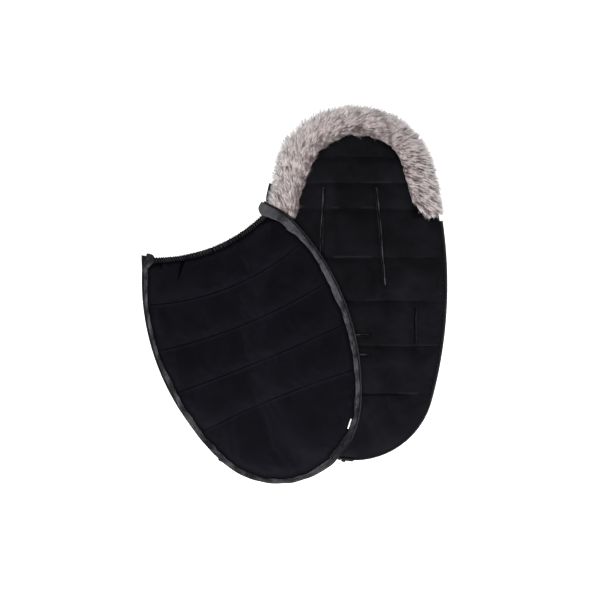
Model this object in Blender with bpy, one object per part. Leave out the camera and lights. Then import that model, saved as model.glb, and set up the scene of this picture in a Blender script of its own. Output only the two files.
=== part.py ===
"""Stroller footmuff, laid open.

The long quilted back lies flat on its grip patches, with a fold-up hood and a fur trim at its head.
The front cover is zipped off and lies turned beside it, half on the back and half on the floor.
Metres, +Z up. Seen from above +X is to the right and +Y points to the hood.
The origin is on the underside, on the back's centre line, at half its length.
"""
import math
from collections import namedtuple

import bmesh
import bpy
from mathutils import Matrix, Vector

# Cloth and clearance
GAP = 0.0003  # between pieces that touch on the real muff
SKIN = 0.0010  # face cloth with its backing
MERGE = 0.000001
FULL_SHARE = 1.0  # in the middle of a quilted channel
CUT_OVERRUN = 0.004  # how far a cutter runs past what it cuts
UNIT = 1.0
HOME = (0.0, 0.0, 0.0)
FOOTWARDS = -1.0
HEADWARDS = 1.0

# Back panel and hood: one outline of tangent arcs
BACK_LENGTH = 0.990
BACK_HALF_WIDTH = 0.263
BACK_FOOT_SHARE = 0.86312  # radius of the foot, of the half width
HOOD_SHARE = 0.85932
BACK_FOOT_RADIUS = BACK_HALF_WIDTH * BACK_FOOT_SHARE
HOOD_RADIUS = BACK_HALF_WIDTH * HOOD_SHARE
HOOD_FOLD_SHARE = 0.570  # of half the length
HOOD_SEAM_SHARE = 0.719
BACK_SEAM_SHARES = (0.426, 0.148, -0.097, -0.352, -0.624)
BACK_CROWN = 0.0195  # top of the quilted pillows over the floor
BACK_FOOT_ROWS = 8
HOOD_END_ROWS = 5

# Front cover: the same kind of outline, open at its top edge
COVER_HALF_WIDTH = 0.2786
COVER_WIDEST = 0.322  # down from the corners of the top edge
COVER_FOOT_CENTRE = 0.521
COVER_FOOT_SHARE = 0.83274
COVER_FOOT_RADIUS = COVER_HALF_WIDTH * COVER_FOOT_SHARE
COVER_DIP_SHARE = 0.21106  # how far the top edge hangs in the middle, of the half width
COVER_DIP = COVER_HALF_WIDTH * COVER_DIP_SHARE
COVER_FIRST_SEAM = 0.1456
COVER_SEAM_PITCH = 0.1245
COVER_SEAMS = 4
COVER_FIRST_BOW = 0.0308
COVER_BOW_STEP = 0.0132
COVER_CROWN = 0.026  # over what the cover lies on
COVER_FOOT_ROWS = 9
COVER_AT = (-0.4099, 0.1564)  # where the middle of the corners' line lies
COVER_TURN_DEGREES = 22.4

# Quilting, the same on every panel
COLUMN_SHARES = (-1.0, -0.8, -0.52, -0.25, 0.0, 0.25, 0.52, 0.8, 1.0)
QUILT_ROW_SHARES = (0.0, 0.2, 0.5, 0.8)
SEAM_DIP_SHARE = 0.43  # of the height that the pillows stand over the edge

# Edge of a panel, inwards from the outline
CLOTH_INSET = 0.0085
WADDING_CLEARANCE = 0.003
COLLAR_WIDTH = 0.048
MID_RING_SHARE = 0.40  # of the way from the wadding's edge to the collar's inner side
BACK_RISE_SHARES = (0.0, 0.30, 0.68, 0.93)
COVER_RISE_SHARES = (0.0, 0.20, 0.38, 0.80)
CROWN_REACH = 0.030  # past the collar, where the pillows are at full height

# Zip
TAPE_WIDTH = 0.013
TAPE_THICKNESS = 0.0008
CHAIN_WIDTH = 0.004
CHAIN_HEIGHT = 0.0023
CHAIN_CHAMFER = 0.0006
BACK_SIDE_STATIONS = 14
BACK_FOOT_STATIONS = 16
FUR_TO_TAPE = 0.001

# Grey band round the cover
BAND_WIDTH = 0.018
BAND_INSET = 0.0070
BAND_THICKNESS = 0.0012
BAND_WALL = 0.0010

# Gathered hem of the cover
HEM_RADIUS = 0.0062
HEM_BORE = 0.0028
ELASTIC_RADIUS = 0.0024
GATHER_PITCH = 0.0060
GATHER_SHARE = 0.82  # radius between two gathers
HEM_CLEARANCE = 0.0007
BORE_STATIONS = 24

# Fur trim
FUR_WIDTH = 0.090
FUR_TOP_WIDTH = 0.083
FUR_HEIGHT = 0.0145  # over the back's top
FUR_OVERHANG = 0.004
FUR_SEAT = 0.0005
FUR_WRAP_LEVEL = 0.0010
FUR_WRAP_CLEARANCE = 0.0009
FUR_KNOT_STEP = 0.003  # least spacing of a section's lower points where the fur is narrow
FUR_END_WIDTH_SHARES = (1.0, 1.0, 0.95, 0.86, 0.77, 0.52)
FUR_END_HEIGHT_SHARES = (1.0, 1.0, 1.0, 0.96, 0.90, 0.62)
FUR_ROUND_SHARES = ((0.93, 0.52), (0.80, 0.84), (0.60, 1.0), (0.38, 1.0), (0.18, 0.80), (0.05, 0.46))
FUR_PRESS = 0.0025  # room left under the cover that lies on the fur

# Hood
HOOD_RAISE_DEGREES = 60.0
WEDGE_SPARE_DEGREES = 2.0

# Drape of the cover over the back
DRAPE_INSIDE = 0.035
DRAPE_OUTSIDE = 0.065
LUMP_AT = (-0.200, 0.240)  # where the cover's corner lies on the fur
LUMP_RADIUS = 0.110
LUMP_HEIGHT = 0.012

# Harness slots: outer size of the bound opening
SLOT_OPENING = 0.0064
SLOT_WALL = 0.0018
SLOT_TOP_CLEARANCE = 0.0002  # the cover's cloth lies just over the bindings
SLOT_CORNERS = 12
HALF_HOLE = SLOT_OPENING / 2 + SLOT_WALL + GAP  # what a slot takes out of the cloth and the wadding
SHOULDER_SLOT_LENGTH = 0.280
SHOULDER_SLOT_FROM_FOLD = 0.008
SHOULDER_SPREAD_SHARE = 0.30038  # of the back's half width
SHOULDER_SLOT_SHIFT = -0.006
SHOULDER_SLOT_LEAN_DEGREES = 3.7
WAIST_SLOT_LENGTH = 0.114
WAIST_SPREAD_SHARE = 0.65589
LAP_LENGTH = 0.051734  # from the shoulder slots' lower ends to the waist slots
CROTCH_SLOT_LENGTH = 0.092
CROTCH_BELOW_WAIST = 0.029
CROTCH_SLOT_PITCH = 0.055
CROTCH_SLOT_SHIFT = -0.003

# Grip patches under the back
PATCH_THICKNESS = 0.0008
PATCH_CORNER = 0.012
UPPER_PATCH_HALF = (0.044, 0.150)
UPPER_PATCH_AT = (0.0, 0.060)
LOWER_PATCH_HALF = (0.115, 0.075)
LOWER_PATCH_AT = (0.0, -0.325)
PATCH_CORNER_STEPS = 4

# Zip sliders, pulls and end pieces
SLIDER_LENGTH = 0.012
SLIDER_PLATE = 0.0011
SLIDER_ROOM = 0.0004
SLIDER_OUTER = 0.0060  # outside the outline
SLIDER_INNER = 0.0052  # inside the outline
SLIDER_FLANGE = 0.0007
SLIDER_TAPER_SHARE = 0.72
POST_OUTER = 0.0016
POST_INNER = 0.0006
BAIL_RADIUS = 0.0006
BAIL_SPAN = 0.0062
BAIL_ROOM = 0.0026
BAIL_STEPS = 8
PULL_LENGTH = 0.028
PULL_HALF_WIDTH = 0.0034
PULL_THICKNESS = 0.0012
PULL_BAR = 0.0006  # half the end bar
EYE_HALF_WIDTH = 0.0016
EYE_REACH = 0.0052
PULL_TIP_SHARE = 0.62
END_PIECE_LENGTH = 0.009
END_PIECE_HEIGHT = 0.0036
END_PIECE_REACH = (-0.0020, 0.0056)
END_PIECE_BEVEL = 0.0006
RIGHT_SLIDER_PARK = 0.0295  # left of the foot's lowest point, along the edge
CHAIN_PAST_SLIDER = 0.0010
LEFT_ZIP_FROM_RIGHT = 0.006
LEFT_SLIDER_PARK = 0.012  # above where the cover's side meets its foot arc
COVER_LEFT_ZIP_ROWS = 4  # rows of the foot arc that the left zip runs round
COVER_RIGHT_ZIP_ROWS = 6
PIN_WIDTH_SHARE = 0.6

# Side tag, left blank
TAG_LENGTH = 0.033
TAG_WIDTH = 0.0066
TAG_THICKNESS = 0.0008
TAG_ROUND = 0.202  # along the foot arc from its lowest point

Station = namedtuple("Station", "x y nx ny puff")


def smooth(share):
    share = min(max(share, 0.0), 1.0)
    return share * share * (3.0 - 2.0 * share)


def puffed(share):
    """How full a quilted channel is, from 0 on a seam to 1 in its middle."""
    return 1.0 - abs(2.0 * share - 1.0) ** 3


def stepped(knots, place):
    """Reads a height from (place, height) knots with straight runs between them."""
    if place <= knots[0][0]:
        return knots[0][1]
    for (near, low), (far, high) in zip(knots, knots[1:]):
        if place <= far:
            return low + (high - low) * (place - near) / (far - near)
    return knots[-1][1]


class Oval:
    """An outline of tangent arcs, symmetric about the Y axis."""

    def __init__(self, half_width, widest_y, side_radius, foot, hood=None):
        self.widest_y = widest_y
        self.side_radius = side_radius
        self.side_x = half_width - side_radius  # centre of the right side's arc
        self.foot_y, self.foot_radius = foot
        self.hood = hood

    def past(self, x, y, centre_y):
        """Positive where a point lies above the line from the side's centre through an end's centre."""
        rise = centre_y - self.widest_y
        return -self.side_x * (y - self.widest_y) - rise * (x - self.side_x)

    def arc(self, x, y):
        """Centre and radius of the arc that a point belongs to."""
        side = 1.0 if x >= 0.0 else -1.0
        if self.past(abs(x), y, self.foot_y) < 0.0:
            return 0.0, self.foot_y, self.foot_radius
        if self.hood and self.past(abs(x), y, self.hood[0]) > 0.0:
            return 0.0, self.hood[0], self.hood[1]
        return side * self.side_x, self.widest_y, self.side_radius

    def inset(self, x, y):
        cx, cy, radius = self.arc(x, y)
        return radius - math.hypot(x - cx, y - cy)

    def outward(self, x, y):
        cx, cy, _ = self.arc(x, y)
        away = Vector((x - cx, y - cy))
        away.normalize()
        return away.x, away.y

    def half_width(self, y, inset):
        """Half the width at height y of the outline drawn in by inset."""
        found = self.side_x + math.sqrt((self.side_radius - inset) ** 2 - (y - self.widest_y) ** 2)
        if self.past(found, y, self.foot_y) < 0.0:
            found = math.sqrt(max((self.foot_radius - inset) ** 2 - (y - self.foot_y) ** 2, 0.0))
        elif self.hood and self.past(found, y, self.hood[0]) > 0.0:
            found = math.sqrt(max((self.hood[1] - inset) ** 2 - (y - self.hood[0]) ** 2, 0.0))
        return found

    def tangent_degrees(self):
        """How far above straight down the foot arc meets the side."""
        return 90.0 - math.degrees(math.atan2(self.widest_y - self.foot_y, -self.side_x))


def back_outline():
    """The side arcs are the ones that touch both end circles at the stated width."""
    foot_y = BACK_FOOT_RADIUS - BACK_LENGTH / 2
    hood_y = BACK_LENGTH / 2 - HOOD_RADIUS
    between = hood_y - foot_y
    p = 2 * (BACK_HALF_WIDTH - BACK_FOOT_RADIUS)
    q = BACK_HALF_WIDTH**2 - BACK_FOOT_RADIUS**2
    r = 2 * (BACK_HALF_WIDTH - HOOD_RADIUS)
    s = BACK_HALF_WIDTH**2 - HOOD_RADIUS**2
    rest = between**2 - r * q / p + s
    up = rest / (between + math.sqrt(between**2 - (1 - r / p) * rest))
    side_radius = (up**2 + q) / p
    return Oval(BACK_HALF_WIDTH, foot_y + up, side_radius, (foot_y, BACK_FOOT_RADIUS), (hood_y, HOOD_RADIUS))


def cover_outline():
    up = COVER_FOOT_CENTRE - COVER_WIDEST
    spare = COVER_HALF_WIDTH**2 - COVER_FOOT_RADIUS**2
    side_radius = (up**2 + spare) / (2 * (COVER_HALF_WIDTH - COVER_FOOT_RADIUS))
    return Oval(COVER_HALF_WIDTH, -COVER_WIDEST, side_radius, (-COVER_FOOT_CENTRE, COVER_FOOT_RADIUS))


BACK = back_outline()
COVER = cover_outline()
HALF_LENGTH = BACK_LENGTH / 2
FOLD_Y = HOOD_FOLD_SHARE * HALF_LENGTH
WADDING_INSET = TAPE_WIDTH + WADDING_CLEARANCE
BAND_REACH = BAND_INSET + BAND_WIDTH

# Levels of the back's layers over the floor
SHELL_LOW = PATCH_THICKNESS + GAP
BACK_TAPE_LOW = SHELL_LOW + SKIN + GAP
BACK_EDGE_TOP = BACK_TAPE_LOW + TAPE_THICKNESS + GAP + SKIN
SLOT_TOP = BACK_CROWN + SKIN
BACK_TOP = SLOT_TOP + SLOT_TOP_CLEARANCE
FOLD_TOP = BACK_EDGE_TOP + (BACK_CROWN - BACK_EDGE_TOP) * (1 - SEAM_DIP_SHARE)
FOLD_AXIS = (0.0, FOLD_Y, FOLD_TOP + GAP)

# Levels of the cover's layers over what it lies on
COVER_TAPE_LOW = SLIDER_PLATE + SLIDER_ROOM + GAP  # room for the slider over the floor
COVER_EDGE_TOP = COVER_TAPE_LOW + TAPE_THICKNESS + GAP + SKIN + GAP

COVER_ORIGIN = (COVER_AT[0], COVER_AT[1], 0.0)
COVER_TURN = math.radians(COVER_TURN_DEGREES)


def cover_to_world(x, y):
    turned = Matrix.Rotation(COVER_TURN, 2) @ Vector((x, y))
    return turned.x + COVER_AT[0], turned.y + COVER_AT[1]


def drape(x, y):
    """Height of the cover's underside at a place in the cover's own frame."""
    wx, wy = cover_to_world(x, y)
    share = (BACK.inset(wx, wy) + DRAPE_OUTSIDE) / (DRAPE_INSIDE + DRAPE_OUTSIDE)
    away = math.hypot(wx - LUMP_AT[0], wy - LUMP_AT[1])
    return (BACK_TOP + GAP) * smooth(share) + LUMP_HEIGHT * smooth(1 - away / LUMP_RADIUS)


class Panel:
    """A quilted panel: rows of its grid from an open edge to a closed end, and a collar round them."""

    def __init__(self, oval, rows, square_start, mid_inset, rise_shares):
        self.oval = oval
        self.rows = rows
        self.square_start = square_start
        self.rings = (COLLAR_WIDTH, mid_inset, WADDING_INSET, CLOTH_INSET)
        levels = sorted(zip((CLOTH_INSET, WADDING_INSET, mid_inset, COLLAR_WIDTH), rise_shares))
        self.rise = levels + [(COLLAR_WIDTH + CROWN_REACH, 1.0)]

    def outward(self, row, x, y):
        if row == 0 and self.square_start:
            return (1.0 if x > 0.0 else -1.0), 0.0
        return self.oval.outward(x, y)

    def spot(self, row, share):
        edge_y, bow, _ = self.rows[row]
        return share * self.oval.half_width(edge_y, COLLAR_WIDTH), edge_y - bow * (1 - share**2)

    def stations(self):
        """Points of the outline beside each row, from the open edge's left end round to its right end."""
        found = []
        last = len(self.rows) - 1
        left = [(row, -1.0) for row in range(last)]
        right = [(row, 1.0) for row in range(last - 1, -1, -1)]
        for row, side in left + [(last, 0.0)] + right:
            x, y = self.spot(row, side)
            nx, ny = self.outward(row, x, y)
            found.append(Station(x + nx * COLLAR_WIDTH, y + ny * COLLAR_WIDTH, nx, ny, self.rows[row][2]))
        return found

    def fill(self, inset, puff):
        """Share of the full height at an inset from the outline and a place in its channel."""
        return stepped(self.rise, inset) * (1 - SEAM_DIP_SHARE * (1 - puff))


def channel_rows(start, end):
    """Rows of one quilted channel, from the seam that starts it; (edge y, bow) pairs."""
    rows = []
    for share in QUILT_ROW_SHARES:
        y = start[0] + (end[0] - start[0]) * share
        bow = start[1] + (end[1] - start[1]) * share
        rows.append((y, bow, puffed(share)))
    return rows


def end_rows(way, centre_y, radius, seam, count):
    """Rows of the last channel, which fills the round end; they follow equal steps of its arc."""
    start = math.asin(max(min(way * (seam[0] - centre_y) / radius, 1.0), -1.0))
    rows = []
    for step in range(count + 1):
        angle = start + (math.pi / 2 - start) * step / count
        y = seam[0] if step == 0 else centre_y + way * radius * math.sin(angle)
        across = (y - seam[0]) / (centre_y + way * radius - seam[0])
        rows.append((y, seam[1] * (1 - across), puffed(across / 2)))
    return rows


def back_panel():
    seams = [FOLD_Y - GAP / 2] + [share * HALF_LENGTH for share in BACK_SEAM_SHARES]
    rows = []
    for start, end in zip(seams, seams[1:]):
        rows += channel_rows((start, 0.0), (end, 0.0))
    rows += end_rows(FOOTWARDS, BACK.foot_y, BACK_FOOT_RADIUS - COLLAR_WIDTH, (seams[-1], 0.0), BACK_FOOT_ROWS)
    return Panel(BACK, rows, True, mid_inset(), BACK_RISE_SHARES)


def mid_inset():
    return WADDING_INSET + (COLLAR_WIDTH - WADDING_INSET) * MID_RING_SHARE


def hood_panel():
    seam = HOOD_SEAM_SHARE * HALF_LENGTH
    rows = channel_rows((FOLD_Y + GAP / 2, 0.0), (seam, 0.0))
    rows += end_rows(HEADWARDS, BACK.hood[0], HOOD_RADIUS - COLLAR_WIDTH, (seam, 0.0), HOOD_END_ROWS)
    return Panel(BACK, rows, True, mid_inset(), BACK_RISE_SHARES)


def cover_panel():
    """The top edge starts below the corners by the drop of its collar and by the gathered hem."""
    corner_x, corner_y = COVER.half_width(0.0, 0.0), 0.0
    nx, ny = COVER.outward(corner_x, corner_y)
    top = -ny * COLLAR_WIDTH - 2 * HEM_RADIUS - HEM_CLEARANCE
    middle = -COVER_DIP - 2 * HEM_RADIUS - HEM_CLEARANCE
    seams = [(top, top - middle)]
    for number in range(COVER_SEAMS):
        y = -COVER_FIRST_SEAM - number * COVER_SEAM_PITCH
        seams.append((y, COVER_FIRST_BOW - number * COVER_BOW_STEP))
    rows = []
    for start, end in zip(seams, seams[1:]):
        rows += channel_rows(start, end)
    rows += end_rows(FOOTWARDS, COVER.foot_y, COVER_FOOT_RADIUS - COLLAR_WIDTH, seams[-1], COVER_FOOT_ROWS)
    return Panel(COVER, rows, False, BAND_REACH, COVER_RISE_SHARES)


def back_cloth_top(panel, inset, puff):
    return BACK_EDGE_TOP + (BACK_CROWN - BACK_EDGE_TOP) * panel.fill(inset, puff)


def cover_cloth_top(panel, x, y, inset, puff):
    return drape(x, y) + COVER_EDGE_TOP + (COVER_CROWN - COVER_EDGE_TOP) * panel.fill(inset, puff)


# Materials

def linear(channel):
    return channel / 12.92 if channel <= 0.04045 else ((channel + 0.055) / 1.055) ** 2.4


def finish(name, colour, roughness, metallic=0.0):
    material = bpy.data.materials.new(name)
    material.use_nodes = True
    shader = material.node_tree.nodes["Principled BSDF"]
    red, green, blue = (linear(int(colour[at : at + 2], 16) / 255) for at in (0, 2, 4))
    shader.inputs["Base Color"].default_value = (red, green, blue, 1.0)
    shader.inputs["Roughness"].default_value = roughness
    shader.inputs["Metallic"].default_value = metallic
    return material


def finishes():
    return {
        "outer cloth": finish("outer cloth", "19191D", 0.85),
        "plush lining": finish("plush lining", "131315", 0.95),
        "wadding": finish("wadding", "D9D8D4", 0.95),
        "fur": finish("fur", "9C938F", 0.95),
        "band": finish("band", "36363A", 0.8),
        "zip tape": finish("zip tape", "1C1C1F", 0.8),
        "zip chain": finish("zip chain", "2B2B2E", 0.45),
        "zip metal": finish("zip metal", "2A2A2C", 0.35, 0.9),
        "binding": finish("binding", "232326", 0.7),
        "elastic": finish("elastic", "E4E2DD", 0.7),
        "grip": finish("grip", "101012", 0.9),
        "tag": finish("tag", "F0EFEB", 0.6),
    }


# Objects

def clear_scene():
    for existing in list(bpy.data.objects):
        bpy.data.objects.remove(existing, do_unlink=True)


def new_collection(name):
    collection = bpy.data.collections.new(name)
    bpy.context.scene.collection.children.link(collection)
    return collection


class Maker:
    """Holds the collections and finishes, and turns a bmesh into a named object."""

    def __init__(self):
        self.parts = new_collection("stroller_footmuff")
        self.cutters = new_collection("cutters")
        self.finishes = finishes()

    def add(self, name, bm, finish_name, origin=(0.0, 0.0, 0.0), turn=0.0):
        """The mesh is in the frame of its origin; turn is about +Z."""
        bmesh.ops.recalc_face_normals(bm, faces=bm.faces[:])
        mesh = bpy.data.meshes.new(name)
        bm.to_mesh(mesh)
        bm.free()
        mesh.materials.append(self.finishes[finish_name])
        obj = bpy.data.objects.new(name, mesh)
        obj.location = origin
        obj.rotation_euler = (0.0, 0.0, turn)
        self.parts.objects.link(obj)
        return obj

    def cutter(self, name, bm):
        bmesh.ops.recalc_face_normals(bm, faces=bm.faces[:])
        mesh = bpy.data.meshes.new(name)
        bm.to_mesh(mesh)
        bm.free()
        return self.hide(bpy.data.objects.new(name, mesh))

    def hide(self, obj):
        self.cutters.objects.link(obj)
        obj.hide_render = True
        obj.display_type = "WIRE"
        return obj


def cut(obj, cutter, operation="DIFFERENCE"):
    modifier = obj.modifiers.new(cutter.name, "BOOLEAN")
    modifier.operation = operation
    modifier.solver = "EXACT"
    modifier.object = cutter


# Meshes

def split_quads(bm, oval):
    """Cuts each quad along the diagonal that leans one way to the outline, so stacked layers bend alike."""
    for face in [f for f in bm.faces if len(f.verts) == 4]:
        a, b, c, d = face.verts
        centre = face.calc_center_median()
        nx, ny = oval.outward(centre.x, centre.y)
        across = c.co - a.co
        leans = (across.x * nx + across.y * ny) * (across.y * nx - across.x * ny)
        pair = (a, c) if leans > 0.0 else (b, d)
        bmesh.utils.face_split(face, *pair)


def pattern(panel, rings):
    """The flat cut of one layer: a grid whose rows follow the seams, and rings out to its edge."""
    bm = bmesh.new()
    columns, last = len(COLUMN_SHARES) - 1, len(panel.rows) - 1
    bmesh.ops.create_grid(bm, x_segments=columns, y_segments=last, size=UNIT)
    row_of = bm.verts.layers.int.new("row")
    for vert in bm.verts:
        row = round((vert.co.y / UNIT + 1) / 2 * last)
        column = round((vert.co.x / UNIT + 1) / 2 * columns)
        vert[row_of] = row
        vert.co.x, vert.co.y = panel.spot(row, COLUMN_SHARES[column])
    bmesh.ops.remove_doubles(bm, verts=bm.verts[:], dist=MERGE)
    edge = [e for e in bm.edges if e.is_boundary and any(v[row_of] > 0 for v in e.verts)]
    for outer, inner in zip(rings[1:], rings):
        grown = bmesh.ops.extrude_edge_only(bm, edges=edge)["geom"]
        fresh = {g for g in grown if isinstance(g, bmesh.types.BMVert)}
        for vert in fresh:
            root = next(e.other_vert(vert) for e in vert.link_edges if e.other_vert(vert) not in fresh)
            vert[row_of] = root[row_of]
            nx, ny = panel.outward(root[row_of], root.co.x, root.co.y)
            vert.co.x = root.co.x + nx * (inner - outer)
            vert.co.y = root.co.y + ny * (inner - outer)
        edge = [e for e in bm.edges if e.verts[0] in fresh and e.verts[1] in fresh]
    split_quads(bm, panel.oval)
    return bm


def layer(panel, rings, under, over, flat_under=False, flat_over=False):
    """A closed layer between two surfaces, given as heights at (x, y, inset, puff)."""
    bm = pattern(panel, rings)
    row_of = bm.verts.layers.int["row"]
    grown = bmesh.ops.extrude_face_region(bm, geom=bm.faces[:], use_keep_orig=True)["geom"]
    upper = {g for g in grown if isinstance(g, bmesh.types.BMVert)}
    for vert in bm.verts:
        x, y = vert.co.x, vert.co.y
        height = over if vert in upper else under
        vert.co.z = height(x, y, panel.oval.inset(x, y), panel.rows[vert[row_of]][2])
    lids = [f for f in bm.faces if all(v in upper for v in f.verts)]
    floors = [f for f in bm.faces if not any(v in upper for v in f.verts)]
    if flat_over:
        bmesh.ops.dissolve_faces(bm, faces=lids, use_verts=False)
    if flat_under:
        bmesh.ops.dissolve_faces(bm, faces=floors, use_verts=False)
    return bm


def loft(stations, section, oval=None):
    """Carries a closed section along the stations. section(station) lists (inset, z) pairs."""
    rings = [section(station) for station in stations]
    corners, last = len(rings[0]), len(stations) - 1
    bm = bmesh.new()
    bmesh.ops.create_grid(bm, x_segments=corners, y_segments=last, size=UNIT)
    for vert in bm.verts:
        at = round((vert.co.y / UNIT + 1) / 2 * last)
        corner = round((vert.co.x / UNIT + 1) / 2 * corners) % corners
        station = stations[at]
        inset, z = rings[at][corner]
        vert.co = (station.x - station.nx * inset, station.y - station.ny * inset, z)
    bmesh.ops.remove_doubles(bm, verts=bm.verts[:], dist=MERGE)
    if oval:
        split_quads(bm, oval)
    bmesh.ops.holes_fill(bm, edges=[e for e in bm.edges if e.is_boundary], sides=0)
    return bm


def stadium(bm, length, width):
    """A ring of vertices round a slot with round ends, along Y."""
    made = bmesh.ops.create_circle(bm, segments=SLOT_CORNERS, radius=width / 2)["verts"]
    half_step = Matrix.Rotation(math.pi / SLOT_CORNERS, 3, "Z")
    bmesh.ops.rotate(bm, verts=made, matrix=half_step)
    widen = 1 / math.cos(math.pi / SLOT_CORNERS)
    bmesh.ops.scale(bm, verts=made, vec=(widen, UNIT, UNIT))
    for vert in made:
        vert.co.y += math.copysign((length - width) / 2, vert.co.y)
    return made


def slot_prism(length, width, low, high):
    bm = bmesh.new()
    made = stadium(bm, length, width)
    lid = bmesh.ops.contextual_create(bm, geom=made)["faces"]
    grown = bmesh.ops.extrude_face_region(bm, geom=lid, use_keep_orig=True)["geom"]
    raised = {g for g in grown if isinstance(g, bmesh.types.BMVert)}
    for vert in bm.verts:
        vert.co.z = high if vert in raised else low
    return bm


def slot_ring(length, low, high):
    bm = bmesh.new()
    stadium(bm, length, SLOT_OPENING + 2 * SLOT_WALL)
    stadium(bm, length - 2 * SLOT_WALL, SLOT_OPENING)
    washer = bmesh.ops.bridge_loops(bm, edges=bm.edges[:])["faces"]
    grown = bmesh.ops.extrude_face_region(bm, geom=washer, use_keep_orig=True)["geom"]
    raised = {g for g in grown if isinstance(g, bmesh.types.BMVert)}
    for vert in bm.verts:
        vert.co.z = high if vert in raised else low
    return bm


def place(bm, x, y, degrees):
    spin = Matrix.Rotation(math.radians(degrees), 4, "Z")
    bmesh.ops.transform(bm, matrix=Matrix.Translation((x, y, 0.0)) @ spin, verts=bm.verts[:])


# Harness slots

Slot = namedtuple("Slot", "name length x y degrees")


def harness_slots():
    lean = SHOULDER_SLOT_LEAN_DEGREES
    drop = SHOULDER_SLOT_LENGTH / 2 * math.cos(math.radians(lean))
    shoulder_y = FOLD_Y - SHOULDER_SLOT_FROM_FOLD - drop
    waist_y = shoulder_y - drop - LAP_LENGTH - WAIST_SLOT_LENGTH / 2
    slots = []
    for side, word in ((-1, "left"), (1, "right")):
        x = SHOULDER_SLOT_SHIFT + side * BACK_HALF_WIDTH * SHOULDER_SPREAD_SHARE
        slots.append(Slot(f"shoulder_slot_{word}", SHOULDER_SLOT_LENGTH, x, shoulder_y, side * lean))
        waist = side * BACK_HALF_WIDTH * WAIST_SPREAD_SHARE
        slots.append(Slot(f"waist_slot_{word}", WAIST_SLOT_LENGTH, waist, waist_y, 0.0))
    for number, word in enumerate(("upper", "lower")):
        y = waist_y - CROTCH_BELOW_WAIST - number * CROTCH_SLOT_PITCH
        slots.append(Slot(f"crotch_slot_{word}", CROTCH_SLOT_LENGTH, CROTCH_SLOT_SHIFT, y, 90.0))
    return slots


def add_slots(maker, layers):
    hole_width = 2 * HALF_HOLE
    for slot in harness_slots():
        ring = slot_ring(slot.length, SHELL_LOW, SLOT_TOP)
        place(ring, slot.x, slot.y, slot.degrees)
        maker.add(slot.name + "_binding", ring, "binding")
        low, high = SHELL_LOW - CUT_OVERRUN, SLOT_TOP + CUT_OVERRUN
        hole = slot_prism(slot.length + 2 * GAP, hole_width, low, high)
        place(hole, slot.x, slot.y, slot.degrees)
        cutter = maker.cutter(slot.name + "_hole", hole)
        for obj in layers:
            cut(obj, cutter)


# Back and hood

def level(height):
    return lambda x, y, inset, puff: height


def moved_home(bm, origin):
    bmesh.ops.translate(bm, verts=bm.verts[:], vec=[-value for value in origin])
    return bm


def add_cloth(maker, panel, prefix, origin):
    """The shell under a panel and the lining over it; returns both."""

    def lining_top(x, y, inset, puff):
        return back_cloth_top(panel, inset, puff)

    def lining_low(x, y, inset, puff):
        return back_cloth_top(panel, inset, puff) - SKIN

    shell = layer(panel, panel.rings, level(SHELL_LOW), level(SHELL_LOW + SKIN), True, True)
    lining = layer(panel, panel.rings, lining_low, lining_top)
    return [
        maker.add(f"{prefix}_shell", moved_home(shell, origin), "outer cloth", origin),
        maker.add(f"{prefix}_lining", moved_home(lining, origin), "plush lining", origin),
    ]


def add_wadding(maker, panel, name, origin, walls=()):
    """Wadding of a panel, or the piece of it that the walls keep; a wall is a place and the way out."""

    def wadding_top(x, y, inset, puff):
        return back_cloth_top(panel, inset, puff) - SKIN - GAP

    bm = layer(panel, panel.rings[:-1], level(SHELL_LOW + SKIN + GAP), wadding_top, True)
    for spot, way_out in walls:
        keep_side(bm, spot, way_out)
    maker.add(name, moved_home(bm, origin), "wadding", origin)


def keep_side(bm, spot, way_out):
    """Cuts off what lies past a plane, and closes the cut."""
    everything = bm.verts[:] + bm.edges[:] + bm.faces[:]
    bmesh.ops.bisect_plane(bm, geom=everything, plane_co=spot, plane_no=way_out, clear_outer=True)
    bmesh.ops.holes_fill(bm, edges=[e for e in bm.edges if e.is_boundary], sides=0)


def above(y):
    return (0.0, y + GAP / 2, 0.0), (0.0, -UNIT, 0.0)


def below(y):
    return (0.0, y - GAP / 2, 0.0), (0.0, UNIT, 0.0)


def beside(slot, side):
    """The wall along a slot, for wadding on its side -1 or +1; for a slot across, +1 is above it."""
    way_out = Matrix.Rotation(math.radians(slot.degrees), 3, "Z") @ Vector((-side, 0.0, 0.0))
    return Vector((slot.x, slot.y, 0.0)) - way_out * HALF_HOLE, way_out


def past(slot, side):
    """The wall past the end of a slot across, for wadding on its side -1 or +1."""
    return (slot.x + side * (slot.length / 2 + GAP), 0.0, 0.0), (-side, 0.0, 0.0)


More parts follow.
